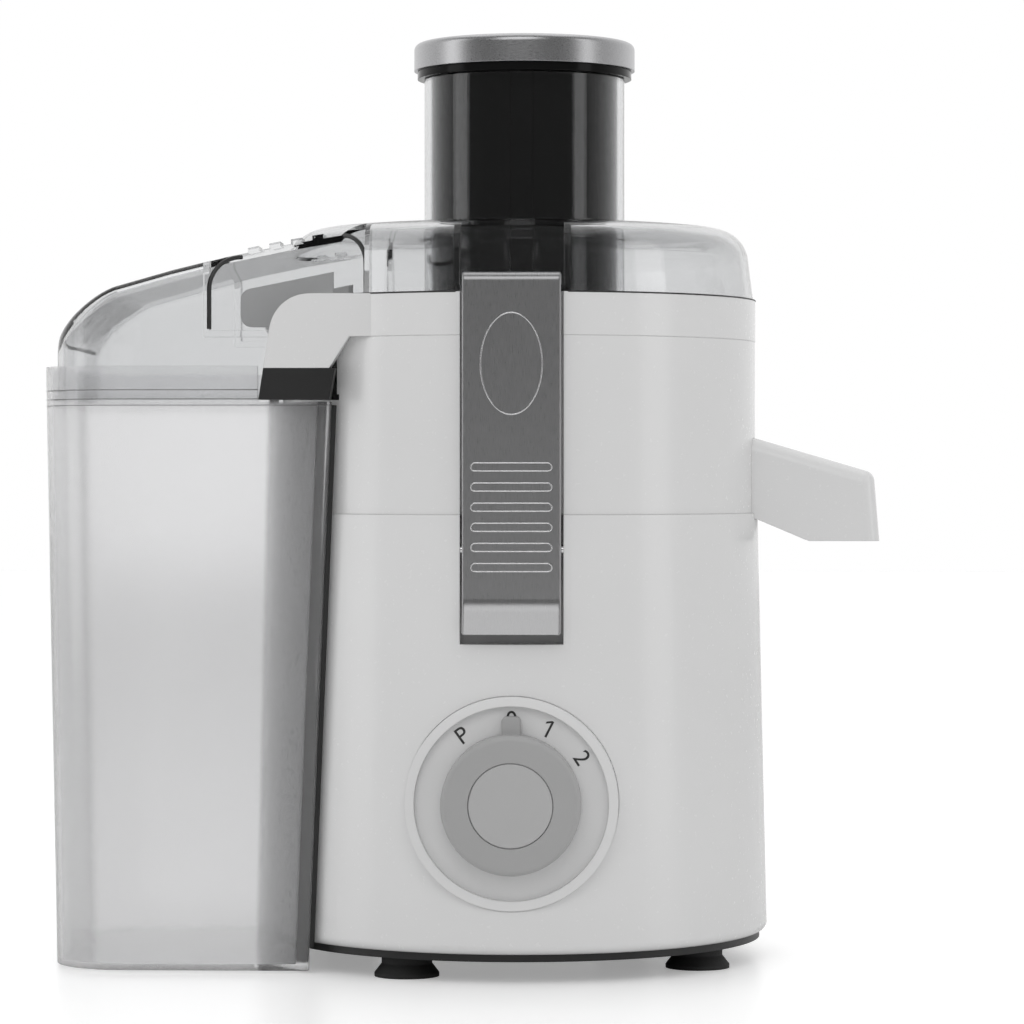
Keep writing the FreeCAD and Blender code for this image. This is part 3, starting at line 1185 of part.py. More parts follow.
def make_filter_basket():
    top = Z_BASKET + BASKET_HEIGHT
    rim = BASKET_TOP_RADIUS + BASKET_RIM
    inner = BASKET_TOP_RADIUS - BASKET_WALL
    basket = turned([
        (SHAFT_RADIUS, Z_BASKET),
        (BASKET_FLOOR_RADIUS, Z_BASKET),
        (BASKET_TOP_RADIUS, top),
        (rim, top),
        (rim, top + BASKET_RIM_HEIGHT),
        (inner, top + BASKET_RIM_HEIGHT),
        (inner, top),
        (BASKET_FLOOR_RADIUS - BASKET_WALL, Z_CUTTER),
        (SHAFT_RADIUS, Z_CUTTER),
    ])
    half = BASKET_SLOT_WIDTH / 2
    slot = box(CUTTER_RADIUS, FAR, -half, half, Z_BASKET + BASKET_SLOT_MARGIN, top - BASKET_SLOT_MARGIN)
    return basket.cut(ring_of(slot, BASKET_SLOTS))


def make_cutter_disc():
    disc = tube(CUTTER_RADIUS, SHAFT_RADIUS, Z_CUTTER, Z_CUTTER_TOP)
    teeth = []
    half = CUTTER_TOOTH / 2
    for index, radius in enumerate(CUTTER_TOOTH_RINGS):
        tooth = box(radius, radius + CUTTER_TOOTH_LENGTH, -half, half, Z_CUTTER, Z_CUTTER_TOP + CUTTER_TOOTH)
        teeth += ring_of(tooth, CUTTER_TEETH_PER_RING, 180 / CUTTER_TEETH_PER_RING * index)
    return disc.fuse(teeth)


def make_cutter_nut():
    nut = turned([
        (0, Z_CUTTER_TOP),
        (NUT_RADIUS, Z_CUTTER_TOP),
        (NUT_RADIUS, Z_NUT_TOP, NUT_HEIGHT / 2),
        (0, Z_NUT_TOP),
    ])
    return nut.cut(post(SHAFT_RADIUS, Z_CUTTER_TOP, Z_CUTTER_TOP + NUT_BITE))


# Rear and side fittings

def make_cord_gland():
    seat = base_radius(GLAND_HEIGHT - GLAND_FLANGE)
    flange = peg(GLAND_FLANGE, seat, seat + GLAND_FLANGE_THICKNESS, GLAND_HEIGHT)
    sleeve = peg(GLAND_RADIUS, seat - GLAND_LENGTH, seat, GLAND_HEIGHT)
    return flange.fuse(sleeve).cut(peg(GLAND_BORE, 0, FAR, GLAND_HEIGHT))


def make_safety_switch():
    wall = POCKET_BACK - BASE_WALL
    half = SAFETY_SWITCH_WIDTH / 2
    low = Z_PIVOT - SAFETY_SWITCH_HEIGHT / 2
    return box(-half, half, -wall, -wall + SAFETY_SWITCH_DEPTH, low, low + SAFETY_SWITCH_HEIGHT)


front_latch = make_latch()

pieces = {
    "motor_base_shell": make_motor_base_shell(),
    "base_plate": make_base_plate(),
    "suction_feet": group(ring_of(make_foot(), FOOT_COUNT, FOOT_FIRST_ANGLE)),
    "base_screws": group(ring_of(make_base_screw(), BOSS_COUNT, BOSS_FIRST_ANGLE)),
    "upper_housing": make_upper_housing(),
    "bowl_collar": make_bowl_collar(),
    "bowl_gasket": make_bowl_gasket(),
    "arm_pads": group(mirrored(make_arm_pad())),
    "juice_spout": make_juice_spout(),
    "juice_bowl": make_juice_bowl(),
    "clear_lid": make_clear_lid(),
    "feed_chute": make_feed_chute(),
    "pusher": make_pusher(),
    "pusher_cap": make_pusher_cap(),
    "pulp_bin": make_pulp_bin(),
    "front_latch": front_latch,
    "rear_latch": spun(front_latch, 180),
    "latch_pins": group(both_sides(make_latch_pin())),
    "dial_bezel": make_dial_bezel(),
    "dial_knob": make_dial_knob(),
    "knob_cap": make_knob_cap(),
    "switch_shaft": make_switch_shaft(),
    "rotary_switch": make_rotary_switch(),
    "stator_core": make_stator_core(),
    "stator_windings": group(both_sides(make_stator_coil())),
    "armature": make_armature(),
    "commutator": make_commutator(),
    "carbon_brushes": group(both_sides(make_brush())),
    "brush_holders": group(both_sides(make_brush_holder())),
    "upper_bearing": make_bearing(Z_BRACKET_UNDER),
    "lower_bearing": make_bearing(Z_LOWER_BEARING),
    "upper_motor_bracket": make_upper_bracket(),
    "lower_motor_bracket": make_lower_bracket(),
    "motor_screws": make_motor_screws(),
    "motor_dampers": group(ring_of(make_damper(), MOTOR_POST_COUNT, MOTOR_POST_FIRST_ANGLE)),
    "cooling_fan": make_cooling_fan(),
    "motor_shaft": make_motor_shaft(),
    "shaft_seal": make_shaft_seal(),
    "drive_coupling": make_drive_coupling(),
    "basket_hub": make_basket_hub(),
    "filter_basket": make_filter_basket(),
    "cutter_disc": make_cutter_disc(),
    "cutter_nut": make_cutter_nut(),
    "cord_gland": make_cord_gland(),
    "safety_switch": make_safety_switch(),
}

# The origin goes to the middle of the footprint, at table height.
extent = group(list(pieces.values())).optimalBoundingBox(False)
shift = V(-extent.Center.x, -extent.Center.y, -extent.ZMin)

os.makedirs("parts", exist_ok=True)
for name, shape in pieces.items():
    shape.translate(shift)
    shape.exportStep("parts/" + name + ".step")
    print(name, len(shape.Solids), round(shape.Volume), shape.isValid())
print("size", round(extent.XLength, 2), round(extent.YLength, 2), round(extent.ZLength, 2))
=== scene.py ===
import json
import math
import bmesh
import bpy
from mathutils import Matrix, Vector


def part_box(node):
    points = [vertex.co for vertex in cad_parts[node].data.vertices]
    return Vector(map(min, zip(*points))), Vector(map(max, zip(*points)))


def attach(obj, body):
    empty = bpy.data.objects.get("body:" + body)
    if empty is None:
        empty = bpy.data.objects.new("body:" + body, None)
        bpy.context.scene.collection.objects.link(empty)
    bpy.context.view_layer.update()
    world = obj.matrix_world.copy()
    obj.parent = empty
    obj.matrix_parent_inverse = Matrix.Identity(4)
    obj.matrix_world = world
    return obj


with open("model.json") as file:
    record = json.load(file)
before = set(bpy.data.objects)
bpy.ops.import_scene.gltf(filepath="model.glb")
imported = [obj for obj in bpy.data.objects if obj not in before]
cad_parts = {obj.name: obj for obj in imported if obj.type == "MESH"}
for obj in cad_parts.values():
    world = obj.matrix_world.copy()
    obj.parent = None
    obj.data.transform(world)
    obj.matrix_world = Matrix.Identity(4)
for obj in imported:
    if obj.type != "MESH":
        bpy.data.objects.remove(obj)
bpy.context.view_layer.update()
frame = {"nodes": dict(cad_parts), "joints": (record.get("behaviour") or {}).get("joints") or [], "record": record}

# The looks of a centrifugal juicer. Lengths are in metres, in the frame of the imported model.
MM = 0.001
NODES = frame["nodes"]
JOINTS = {joint["name"]: joint for joint in frame["joints"]}
AXIS = Vector(JOINTS["rotor_spin"]["pos_m"])

# Camera, worked out from the photograph's 1024 pixel frame
IMAGE_SIZE = 1024
HORIZON_Y = 478
BODY_AXIS_X = 519
PIXEL = 0.365 * MM              # at the depth of the motor axis
CAMERA_PIXELS = 4000            # distance to the motor axis, in those pixels
CAMERA_HEIGHT = 173.7 * MM
CAMERA_AZIMUTH = math.radians(1.7)
SENSOR_WIDTH = 36.0

# Floor, room and lamps
FLOOR_SIZE = 12.0
FLOOR_SHADE = (0.9, 0.9, 0.9, 1)
FLOOR_ROUGHNESS = 0.3
FLOOR_SPECULAR = 0.3
FLOOR_GLOW = 0.3                # lifts the floor towards white, for the camera alone
PLAIN_LIGHT = 0.6               # level of the room's light on plain surfaces
ROOM_FRONT = 0.12               # how bright the room behind the camera looks in a mirror
ROOM_BACK = 1.0                 # and the room behind the juicer
ROOM_TURN = (-0.4, 0.95)        # directions along Y between which it changes
LAMP_TARGET = Vector((0, 0, 0.17))
SOFTBOXES = (                   # name, place, width, height and watts
    ("key", (-0.1, -1.6, 1.3), 1.2, 1.2, 5.5),
    ("left_strip", (-1.3, -0.3, 0.5), 0.5, 1.4, 2.5),
    ("right_strip", (1.3, -0.5, 0.5), 0.4, 1.4, 2),
    ("top", (0, 0.2, 1.8), 1.6, 1.6, 4),
)

# Surfaces
NOISE_RANGE = (0.3, 0.7)        # the part of a noise's values that most of it lies in
BEVEL_SAMPLES = 6
DRIFT_SCALE = 14                # slow drift of shade in plastic
GRAIN_DEPTH = 0.15 * MM
COAT_ROUGHNESS = 0.1
BRUSH_SCALE = 260
BRUSH_DETAIL = 6.0
BRUSH_RELIEF = 0.06
BRUSH_DEPTH = 0.05 * MM
BRUSH_ANISOTROPY = 0.4
FLOW_SCALE = 9                  # flow marks in clear plastic
FLOW_RELIEF = 0.03
FLOW_DEPTH = 0.3 * MM
CLEAR_GRAIN = 400
CLEAR_IOR = 1.46
EDGE_POWER = 4.0                # how near to its edge a clear part turns dark, a painted shade for the darkness that bending of light gives there

# Sizes of the details, which follow the solids
LATCH_LIP_FLARE = 4.5 * MM
RIB_RELIEF = 0.5 * MM
OVAL_RELIEF = 0.4 * MM
OVAL_ABOVE_PIVOT = 64 * MM
OVAL_HALF = (10.6 * MM, 17.5 * MM)
OVAL_STEPS = 72
RIB_ABOVE_PIVOT = 28.5 * MM
RIB_PITCH = 6.9 * MM
RIB_COUNT = 6
RIB_HALF = (13.9 * MM, 1.4 * MM)
RIB_END_STEPS = 10
HIGHLIGHT_WIRE = 0.28 * MM
WIRE_ROUNDNESS = 3
BEZEL_RECESS = 3.0 * MM
MARK_RADIUS = 28.6 * MM
MARK_HEIGHT = 8.2 * MM
MARK_DEPTH = 0.05 * MM
DIAL_MARKS = (("P", -36), ("0", 0), ("1", 27), ("2", 57))
FIGURE_HEIGHT = 6.0 * MM        # the figure one is drawn, to have its flag
FIGURE_STROKE = 0.75 * MM
FIGURE_FLAG = (2.0 * MM, 1.4 * MM)
BIN_WALL_REACH = 100 * MM       # the bin's hollow side lies nearer to the motor axis than this
BIN_WALL_FACING = -0.75         # and faces the axis at least so squarely
FILM_LIFT = 0.15 * MM
WELD = 0.001 * MM
# Heights of dark lines round the bin under its rim, painted shade for the steps of the rim.
BIN_LINES = (204.6 * MM, 201.4 * MM, 199.2 * MM)
BIN_LINE_WIRE = 0.13 * MM
GAP_SHADE_WIRE = 0.9 * MM
GAP_SHADE_OFFSET = 0.8 * MM        # how far the black strip of painted gap shadow stands off the bin's corner, towards the body
GAP_SHADE_LIFT = 8 * MM
RECESS_EDGES = (                # reach from the motor axis, lean, and heights of foot, bend and top
    (107 * MM, 11 * MM, 226 * MM, 240 * MM, 251.5 * MM),
    (52 * MM, -8 * MM, 238.6 * MM, 249 * MM, 259 * MM),
)
RECESS_SIDE = 59.6 * MM
RECESS_TURN_IN = 6 * MM
RECESS_WIRE = 0.8 * MM
RECESS_STEPS = 12
# Black arcs of painted shadow in the gap between the lid and the collar.
SEAM_ARCS = ((-77, 77), (-131, -103), (103, 131))   # degrees round the lid, clear of latches and hood
GAP_SHADOW_WIRE = 0.3 * MM
SEAM_STEPS = 48
LID_SEAM_DROP = 6.6 * MM        # below the latch's top


# Shader nodes

def new_material(name):
    material = bpy.data.materials.new(name)
    material.use_nodes = True
    tree = material.node_tree
    return material, tree, tree.nodes["Principled BSDF"]


def add(tree, kind, **settings):
    node = tree.nodes.new(kind)
    for key, value in settings.items():
        if key in node.inputs:
            node.inputs[key].default_value = value
        else:
            setattr(node, key, value)
    return node


def feed(tree, socket, value):
    """Gives a socket the output of another node, or a plain value."""
    if isinstance(value, bpy.types.NodeSocket):
        tree.links.new(value, socket)
    else:
        socket.default_value = value


def calculate(tree, operation, first, second):
    node = add(tree, "ShaderNodeMath", operation=operation)
    feed(tree, node.inputs[0], first)
    feed(tree, node.inputs[1], second)
    return node.outputs["Value"]


def mix(tree, kind, factor, first, second):
    node = add(tree, "ShaderNodeMix", data_type=kind)
    feed(tree, node.inputs["Factor"], factor)
    feed(tree, node.inputs["A"], first)
    feed(tree, node.inputs["B"], second)
    return node.outputs["Result"]


def map_range(tree, value, source, target):
    """Maps a value from one range to another."""
    node = add(tree, "ShaderNodeMapRange")
    node.inputs["From Min"].default_value = source[0]
    node.inputs["From Max"].default_value = source[1]
    node.inputs["To Min"].default_value = target[0]
    node.inputs["To Max"].default_value = target[1]
    tree.links.new(value, node.inputs["Value"])
    return node.outputs["Result"]


def object_noise(tree, scale, stretch=(1, 1, 1), detail=4.0):
    """Noise in the object's own coordinates, finer along an axis by its stretch."""
    coordinates = add(tree, "ShaderNodeTexCoord")
    mapping = add(tree, "ShaderNodeMapping")
    mapping.inputs["Scale"].default_value = stretch
    noise = add(tree, "ShaderNodeTexNoise", Scale=scale, Detail=detail)
    tree.links.new(coordinates.outputs["Object"], mapping.inputs["Vector"])
    tree.links.new(mapping.outputs["Vector"], noise.inputs["Vector"])
    return noise.outputs["Fac"]


def shade_between(tree, value, dark, light):
    """A colour that drifts between two shades with a noise value."""
    ramp = add(tree, "ShaderNodeValToRGB")
    for element, position, shade in zip(ramp.color_ramp.elements, NOISE_RANGE, (dark, light)):
        element.position = position
        element.color = (*shade, 1)
    tree.links.new(value, ramp.inputs["Fac"])
    return ramp.outputs["Color"]


def relief(tree, shader, value, strength, distance, edge=0.0):
    """Fine bump on a shader, over softly rounded edges where an edge radius is given."""
    bump = add(tree, "ShaderNodeBump", Strength=strength, Distance=distance)
    tree.links.new(value, bump.inputs["Height"])
    if edge:
        bevel = add(tree, "ShaderNodeBevel", samples=BEVEL_SAMPLES, Radius=edge)
        tree.links.new(bevel.outputs["Normal"], bump.inputs["Normal"])
    tree.links.new(bump.outputs["Normal"], shader.inputs["Normal"])


# Materials

def moulded(name, dark, light, roughness, grain, strength, edge=0.6 * MM, coat=0.0, specular=0.5, alpha=1.0):
    """Moulded plastic: slow drift of shade, fine grain in gloss and relief, soft edges."""
    material, tree, shader = new_material(name)
    drift = object_noise(tree, DRIFT_SCALE)
    fine = object_noise(tree, grain)
    tree.links.new(shade_between(tree, drift, dark, light), shader.inputs["Base Color"])
    tree.links.new(map_range(tree, fine, NOISE_RANGE, roughness), shader.inputs["Roughness"])
    relief(tree, shader, fine, strength, GRAIN_DEPTH, edge)
    shader.inputs["Coat Weight"].default_value = coat
    shader.inputs["Coat Roughness"].default_value = COAT_ROUGHNESS
    shader.inputs["Specular IOR Level"].default_value = specular
    shader.inputs["Alpha"].default_value = alpha
    return material


def brushed(name, dark, light, roughness, stretch, edge=0.4 * MM):
    """Satin metal: fine brush lines in shade, gloss and relief."""
    material, tree, shader = new_material(name)
    lines = object_noise(tree, BRUSH_SCALE, stretch, BRUSH_DETAIL)
    tree.links.new(shade_between(tree, lines, dark, light), shader.inputs["Base Color"])
    tree.links.new(map_range(tree, lines, NOISE_RANGE, roughness), shader.inputs["Roughness"])
    relief(tree, shader, lines, BRUSH_RELIEF, BRUSH_DEPTH, edge)
    shader.inputs["Metallic"].default_value = 1.0
    shader.inputs["Anisotropic"].default_value = BRUSH_ANISOTROPY
    return material


def see_through(name, dark, light, edge, roughness, weight):
    """Tinted see-through plastic with painted shade deepening its colour towards the edges it shows side-on,
    standing in for the dark look that bending of light gives there, and faint flow marks from its mould.
    """
    material, tree, shader = new_material(name)
    drift = object_noise(tree, FLOW_SCALE)
    fine = object_noise(tree, CLEAR_GRAIN)
    facing = add(tree, "ShaderNodeLayerWeight", Blend=0.5)
    painted_edge_weight = calculate(tree, "POWER", facing.outputs["Facing"], EDGE_POWER)
    tint_and_painted_edge_shade = mix(tree, "RGBA", painted_edge_weight, shade_between(tree, drift, dark, light), (*edge, 1))
    tree.links.new(tint_and_painted_edge_shade, shader.inputs["Base Color"])
    tree.links.new(map_range(tree, fine, NOISE_RANGE, roughness), shader.inputs["Roughness"])
    relief(tree, shader, drift, FLOW_RELIEF, FLOW_DEPTH)
    shader.inputs["Transmission Weight"].default_value = weight
    shader.inputs["IOR"].default_value = CLEAR_IOR
    return material


WHITE = moulded("white_gloss", (0.79, 0.79, 0.79), (0.81, 0.81, 0.81), (0.2, 0.28), 700, 0.03, coat=0.25)
BEZEL_WHITE = moulded("bezel_white", (0.79, 0.79, 0.79), (0.82, 0.82, 0.82), (0.28, 0.36), 900, 0.04)
BLACK = moulded("black_satin", (0.012, 0.012, 0.012), (0.02, 0.02, 0.02), (0.38, 0.5), 1500, 0.12)
BLACK_GLOSS = moulded("black_gloss", (0.006, 0.006, 0.006), (0.009, 0.009, 0.009), (0.10, 0.16), 500, 0.02,
                      specular=0.12)
RUBBER = moulded("black_rubber", (0.014, 0.014, 0.014), (0.024, 0.024, 0.024), (0.6, 0.75), 2200, 0.2)
KNOB_GREY = moulded("knob_grey", (0.39, 0.39, 0.39), (0.42, 0.42, 0.42), (0.34, 0.42), 1600, 0.08,
                    edge=0.8 * MM)
CAP_GREY = moulded("knob_cap_grey", (0.46, 0.46, 0.46), (0.49, 0.49, 0.49), (0.30, 0.36), 1600, 0.06)
INK = moulded("dial_ink", (0.03, 0.03, 0.03), (0.04, 0.04, 0.04), (0.4, 0.5), 2000, 0.05, edge=0.0)
CAP_STEEL = brushed("cap_steel", (0.50, 0.50, 0.51), (0.60, 0.60, 0.61), (0.24, 0.34), (1, 15, 40))
LATCH_STEEL = brushed("latch_steel", (0.40, 0.40, 0.405), (0.50, 0.50, 0.505), (0.26, 0.36), (40, 1, 1))
# Bright steel, also used for the painted highlights round the latches' oval and ribs.
BRIGHT = brushed("bright_steel_and_painted_highlight", (0.78, 0.78, 0.79), (0.88, 0.88, 0.88), (0.12, 0.2), (1, 1, 1))
STEEL = brushed("strainer_steel", (0.52, 0.52, 0.53), (0.62, 0.62, 0.62), (0.2, 0.3), (1, 1, 12))
COPPER = brushed("copper", (0.60, 0.30, 0.14), (0.74, 0.42, 0.22), (0.25, 0.4), (1, 1, 30))
IRON = brushed("laminations", (0.22, 0.22, 0.23), (0.32, 0.32, 0.33), (0.35, 0.5), (1, 1, 60))
# The third colour of each clear finish is the painted shade at its edges.
CLEAR = see_through("clear_smoke", (0.81, 0.815, 0.82), (0.84, 0.845, 0.85), (0.2, 0.2, 0.205),
                    (0.02, 0.05), 1.0)
BIN = see_through("bin_smoke", (0.91, 0.91, 0.915), (0.94, 0.94, 0.945), (0.3, 0.3, 0.305),
                  (0.08, 0.14), 0.95)
# A dark see-through skin: painted shade of the body's shaded side, as seen through the bin.
BIN_SIDE_SHADE = moulded("painted_bin_side_shade", (0.06, 0.06, 0.062), (0.09, 0.09, 0.092), (0.2, 0.3), 600, 0.03, edge=0.0,
                alpha=0.7)
# Near black for painted shade at the edges of the hood's finger recess.
RECESS_EDGE_SHADE = moulded("painted_recess_edge_shade", (0.03, 0.03, 0.03), (0.05, 0.05, 0.05), (0.15, 0.25), 600, 0.03, edge=0.0)
# Dark grey for lines of painted shade along the bin's rim.
RIM_LINE_SHADE = moulded("painted_rim_line_shade", (0.16, 0.16, 0.16), (0.2, 0.2, 0.2), (0.2, 0.3), 600, 0.03, edge=0.0)

FINISH = {
    "white_plastic": WHITE,
    "black_plastic": BLACK,
    "gloss_black": BLACK_GLOSS,
    "clear_smoke": CLEAR,
    "bin_smoke": BIN,
    "satin_steel": STEEL,
    "latch_steel": LATCH_STEEL,
    "grey_plastic": KNOB_GREY,
    "rubber": RUBBER,
    "copper": COPPER,
    "lamination": IRON,
    "aluminium": STEEL,
    "bright_steel": BRIGHT,
    "carbon": BLACK,
}
OWN_FINISH = {"pusher_cap": CAP_STEEL, "dial_bezel": BEZEL_WHITE, "knob_cap": CAP_GREY}
LETS_LIGHT_IN = ("clear_lid", "feed_chute", "pulp_bin")


def dress_nodes():
    """Gives every CAD node its finish, and lets light into the clear ones."""
    for part in frame["record"]["subparts"]:
        node = NODES[part["node"]]
        node.data.materials.clear()
        node.data.materials.append(OWN_FINISH.get(part["node"], FINISH[part["material_slot"]]))
    for name in LETS_LIGHT_IN:
        NODES[name].visible_shadow = False


# Pieces that the scene adds

def link(name, data):
    piece = bpy.data.objects.new(name, data)
    bpy.context.scene.collection.objects.link(piece)
    return piece


def polyline(name, points, dimensions, closed):
    """A curve of straight runs through points."""
    curve = bpy.data.curves.new(name, "CURVE")
    curve.dimensions = dimensions
    spline = curve.splines.new("POLY")
    spline.points.add(len(points) - 1)
    for spot, point in zip(spline.points, points):
        spot.co = (*point, 1)
    spline.use_cyclic_u = closed
    return curve


def wire(name, points, radius, material, body, closed=True):
    """A round wire through points, riding on a body."""
    curve = polyline(name, points, "3D", closed)
    curve.bevel_depth = radius
    curve.bevel_resolution = WIRE_ROUNDNESS
    curve.use_fill_caps = not closed
    curve.materials.append(material)
    piece = link(name, curve)
    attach(piece, body)


def oval_points(centre, half_width, half_height):
    turn = 2 * math.pi / OVAL_STEPS
    return [centre + Vector((half_width * math.cos(turn * i), 0, half_height * math.sin(turn * i)))
            for i in range(OVAL_STEPS)]


def slot_points(centre, half_length, half_width):
    """Outline of a slot with round ends."""
    points = []
    for side in (1, -1):
        end = centre + Vector((side * (half_length - half_width), 0, 0))
        for i in range(RIB_END_STEPS + 1):
            angle = math.pi * i / RIB_END_STEPS - math.pi / 2
            out = Vector((math.cos(angle), 0, math.sin(angle)))
            points.append(end + side * half_width * out)
    return points


def latch_highlights(node, body, joint, side):
    """Painted highlights round a latch's oval and finger ribs, as bright steel wires. Side is -1 at the front and
    1 at the rear.
    """
    low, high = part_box(node)
    lip = low.y if side < 0 else high.y
    face = lip - side * LATCH_LIP_FLARE
    pivot = Vector(JOINTS[joint]["pos_m"])
    oval = Vector((pivot.x, face + side * OVAL_RELIEF, pivot.z + OVAL_ABOVE_PIVOT))
    wire(node + "_oval_highlight", oval_points(oval, *OVAL_HALF), HIGHLIGHT_WIRE, BRIGHT, body)
    for index in range(RIB_COUNT):
        height = pivot.z + RIB_ABOVE_PIVOT - RIB_PITCH * index
        rib = Vector((pivot.x, face + side * RIB_RELIEF, height))
        wire(f"{node}_rib_highlight_{index + 1}", slot_points(rib, *RIB_HALF), HIGHLIGHT_WIRE, BRIGHT, body)


def letter(name, mark):
    """A printed letter or figure, centred."""
    font = bpy.data.curves.new(name, "FONT")
    font.body = mark
    font.size = MARK_HEIGHT
    font.align_x = "CENTER"
    font.align_y = "CENTER"
    return font


def figure_one(name):
    """A figure one with a flag at its top, drawn as a flat outline."""
    half = FIGURE_STROKE / 2
    top = FIGURE_HEIGHT / 2
    across, down = FIGURE_FLAG
    corners = [
        (-half, -top),
        (half, -top),
        (half, top),
        (-half, top),
        (-across, top - down + half),
        (-across, top - down - half),
        (-half, top - FIGURE_STROKE),
    ]
    curve = polyline(name, [(x, y, 0) for x, y in corners], "2D", True)
    curve.fill_mode = "BOTH"
    return curve


def dial_marks():
    """Printed marks round the dial, turned to face its centre."""
    low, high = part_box("dial_bezel")
    centre = (low + high) / 2
    plate = low.y + BEZEL_RECESS - MARK_DEPTH
    for mark, degrees in DIAL_MARKS:
        name = "dial_mark_" + mark
        shape = figure_one(name) if mark == "1" else letter(name, mark)
        shape.extrude = MARK_DEPTH
        shape.materials.append(INK)
        piece = link(name, shape)
        angle = math.radians(degrees)
        out = Vector((math.sin(angle), 0, math.cos(angle)))
        facing = Matrix.Rotation(angle, 4, "Y") @ Matrix.Rotation(math.pi / 2, 4, "X")
        place = Vector((centre.x, plate, centre.z)) + out * MARK_RADIUS
        piece.matrix_world = Matrix.Translation(place) @ facing
        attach(piece, "root")


def film(name, node, keep, material, body):
    """A thin skin over the faces of a node that are wanted, riding on a body."""
    skin = bmesh.new()
    skin.from_mesh(NODES[node].data)
    spare = [face for face in skin.faces if not keep(face.calc_center_median(), face.normal)]
    bmesh.ops.delete(skin, geom=spare, context="FACES")
    for vertex in skin.verts:
        vertex.co += vertex.normal * FILM_LIFT
    mesh = bpy.data.meshes.new(name)
    skin.to_mesh(mesh)
    skin.free()
    mesh.shade_smooth()
    mesh.materials.append(material)
    piece = link(name, mesh)
    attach(piece, body)


def outer_section(node, height):
    """Points of a node's outer outline at a height, in order round it."""
    cut = bmesh.new()
    cut.from_mesh(NODES[node].data)
    bmesh.ops.remove_doubles(cut, verts=cut.verts, dist=WELD)
    everything = cut.verts[:] + cut.edges[:] + cut.faces[:]
    found = bmesh.ops.bisect_plane(cut, geom=everything, plane_co=(0, 0, height), plane_no=(0, 0, 1))
    beside = {}
    for item in found["geom_cut"]:
        if isinstance(item, bmesh.types.BMEdge):
            first, second = item.verts
            beside.setdefault(first, []).append(second)
            beside.setdefault(second, []).append(first)
    here = min(beside, key=lambda vertex: vertex.co.x)
    walked = []
    while here is not None:
        walked.append(here)
        here = next((vertex for vertex in beside[here] if vertex not in walked), None)
    points = [vertex.co.copy() for vertex in walked]
    cut.free()
    return points


def faces_body(centre, normal):
    """Whether a face of the bin lies on its hollow side, towards the body."""
    across = Vector((centre.x - AXIS.x, centre.y - AXIS.y, 0))
    return across.length < BIN_WALL_REACH and normal.dot(across.normalized()) < BIN_WALL_FACING


def bin_dressing():
    """Painted shade on the bin: a dark skin on its hollow side for the body's shaded side seen through it, dark
    lines under its rim for the shaded steps of the rim, and black strips up its corners for the shadowed gap at
    the body.
    """
    film("bin_side_painted_shade", "pulp_bin", faces_body, BIN_SIDE_SHADE, "bin")
    for index, height in enumerate(BIN_LINES):
        points = outer_section("pulp_bin", height)
        wire(f"bin_rim_shade_line_{index + 1}", points, BIN_LINE_WIRE, RIM_LINE_SHADE, "bin")
    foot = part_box("pulp_bin")[0].z
    # Black strips up the bin's corners, in rubber's finish: painted shadow of the narrow gap between the bin and
    # the body.
    for side, place in ((-1, "front"), (1, "rear")):
        ends = []
        for height in (foot + GAP_SHADE_LIFT, BIN_LINES[-1]):
            outline = outer_section("pulp_bin", height)
            half = [point for point in outline if side * (point.y - AXIS.y) > 0]
            ends.append(max(half, key=lambda point: point.x) + Vector((GAP_SHADE_OFFSET, 0, 0)))
        wire("bin_gap_shade_" + place, ends, GAP_SHADE_WIRE, RUBBER, "bin", closed=False)


def recess_shade_strips():
    """Painted shade along the edges of the hood's front finger recess, up the side of the hood and over its
    shoulder, for the dark look of its walls seen side-on through the clear lid.
    """
    for index, (reach, lean, foot, bend, top) in enumerate(RECESS_EDGES):
        points = [Vector((AXIS.x - reach, AXIS.y - RECESS_SIDE, foot))]
        for step in range(RECESS_STEPS + 1):
            turn = math.pi / 2 * step / RECESS_STEPS
            over = 1 - math.cos(turn)
            x = AXIS.x - reach + lean * over
            y = AXIS.y - RECESS_SIDE + RECESS_TURN_IN * over
            z = bend + (top - bend) * math.sin(turn)
            points.append(Vector((x, y, z)))
        wire(f"recess_shade_edge_{index + 1}", points, RECESS_WIRE, RECESS_EDGE_SHADE, "root", closed=False)


def lid_gap_shadow():
    """Painted shadow in the gap where the lid meets the collar, drawn as black arcs between the latches and the
    hood.
    """
    low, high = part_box("upper_housing")
    radius = (high.x - low.x) / 2
    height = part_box("front_latch")[1].z - LID_SEAM_DROP
    for index, (first, last) in enumerate(SEAM_ARCS):
        points = []
        for step in range(SEAM_STEPS + 1):
            angle = math.radians(first + (last - first) * step / SEAM_STEPS)
            out = Vector((math.cos(angle), math.sin(angle), 0))
            points.append(Vector((AXIS.x, AXIS.y, height)) + radius * out)
        wire(f"lid_gap_shadow_{index + 1}", points, GAP_SHADOW_WIRE, BLACK, "root", closed=False)


# Stage: floor, light and camera

def make_floor():
    bpy.ops.mesh.primitive_plane_add(size=FLOOR_SIZE, location=(0, 0, 0))
    floor = bpy.context.object
    floor.name = "floor"
    material, tree, shader = new_material("pale_floor")
    shader.inputs["Base Color"].default_value = FLOOR_SHADE
    shader.inputs["Roughness"].default_value = FLOOR_ROUGHNESS
    shader.inputs["Specular IOR Level"].default_value = FLOOR_SPECULAR
    path = add(tree, "ShaderNodeLightPath")
    glow = calculate(tree, "MULTIPLY", path.outputs["Is Camera Ray"], FLOOR_GLOW)
    tree.links.new(glow, shader.inputs["Emission Strength"])
    shader.inputs["Emission Color"].default_value = (1, 1, 1, 1)
    floor.data.materials.append(material)


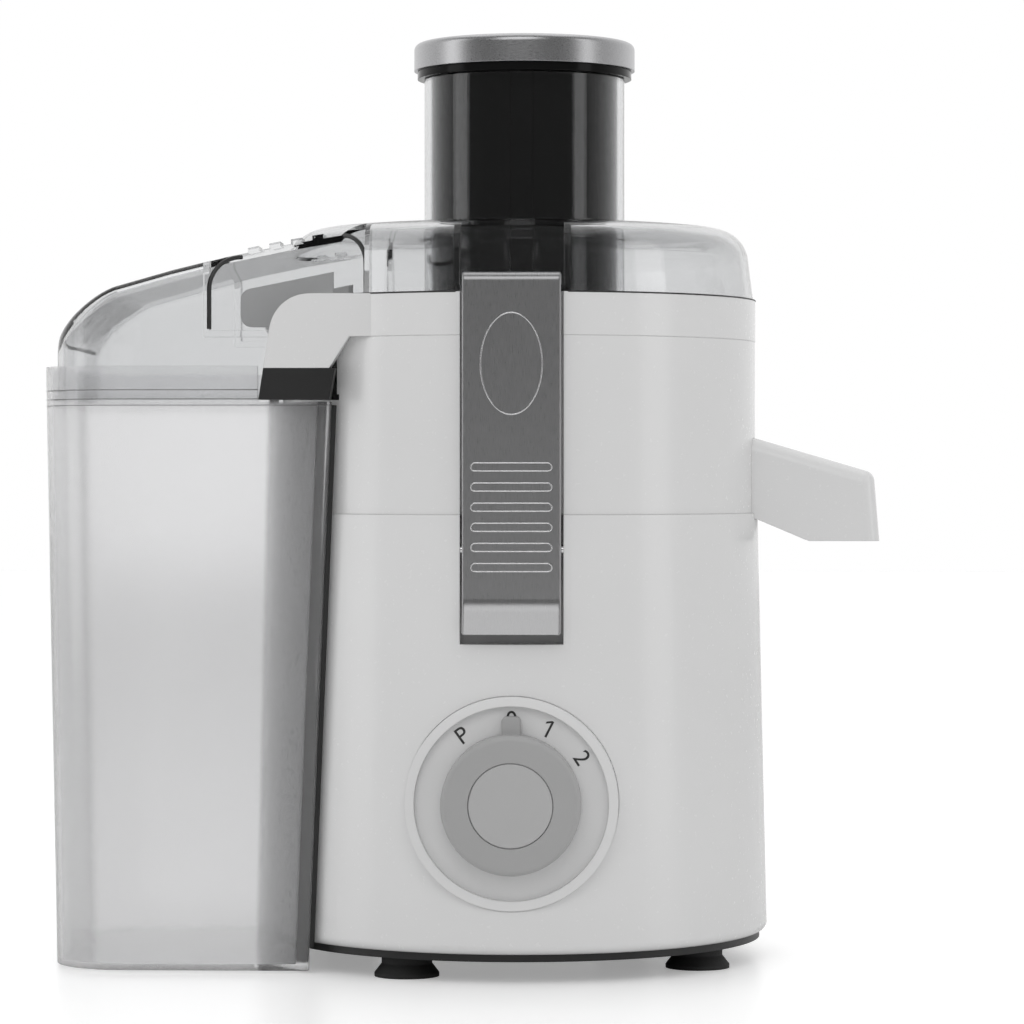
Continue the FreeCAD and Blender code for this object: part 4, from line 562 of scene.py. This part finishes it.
def make_world():
    """White to the camera and through clear parts, plain light on surfaces, and a room that mirrors see."""
    world = bpy.data.worlds.new("studio")
    world.use_nodes = True
    bpy.context.scene.world = world
    tree = world.node_tree
    background = tree.nodes["Background"]
    background.inputs["Color"].default_value = (1, 1, 1, 1)
    path = add(tree, "ShaderNodeLightPath")
    direction = add(tree, "ShaderNodeTexCoord")
    parts = add(tree, "ShaderNodeSeparateXYZ")
    tree.links.new(direction.outputs["Generated"], parts.inputs["Vector"])
    room = map_range(tree, parts.outputs["Y"], ROOM_TURN, (ROOM_FRONT, ROOM_BACK))
    through = path.outputs["Is Transmission Ray"]
    seen = calculate(tree, "MAXIMUM", path.outputs["Is Camera Ray"], through)
    shown = mix(tree, "FLOAT", seen, PLAIN_LIGHT, 1.0)
    mirrored_out = calculate(tree, "MINIMUM", through, path.outputs["Glossy Depth"])
    mirrored = calculate(tree, "MAXIMUM", path.outputs["Is Glossy Ray"], mirrored_out)
    strength = mix(tree, "FLOAT", mirrored, shown, room)
    tree.links.new(strength, background.inputs["Strength"])


def softbox(name, place, width, height, watts):
    light = bpy.data.lights.new(name, "AREA")
    light.shape = "RECTANGLE"
    light.size = width
    light.size_y = height
    light.energy = watts
    lamp = link(name, light)
    lamp.location = place
    lamp.rotation_euler = (LAMP_TARGET - Vector(place)).to_track_quat("-Z", "Y").to_euler()


def make_camera():
    """The photograph's view: level, with the horizon above the middle of the frame."""
    distance = CAMERA_PIXELS * PIXEL
    lens = bpy.data.cameras.new("camera")
    lens.sensor_width = SENSOR_WIDTH
    lens.lens = SENSOR_WIDTH * CAMERA_PIXELS / IMAGE_SIZE
    lens.shift_x = (IMAGE_SIZE / 2 - BODY_AXIS_X) / IMAGE_SIZE
    lens.shift_y = (HORIZON_Y - IMAGE_SIZE / 2) / IMAGE_SIZE
    camera = link("camera", lens)
    back = Vector((math.sin(CAMERA_AZIMUTH), -math.cos(CAMERA_AZIMUTH), 0))
    camera.location = Vector((AXIS.x, AXIS.y, CAMERA_HEIGHT)) + back * distance
    camera.rotation_euler = (math.pi / 2, 0, CAMERA_AZIMUTH)
    bpy.context.scene.camera = camera


dress_nodes()
latch_highlights("front_latch", "front_clamp", "front_latch_swing", -1)
latch_highlights("rear_latch", "rear_clamp", "rear_latch_swing", 1)
dial_marks()
bin_dressing()
recess_shade_strips()
lid_gap_shadow()

make_floor()
make_world()
for settings in SOFTBOXES:
    softbox(*settings)
make_camera()
bpy.context.scene.view_settings.view_transform = "Standard"
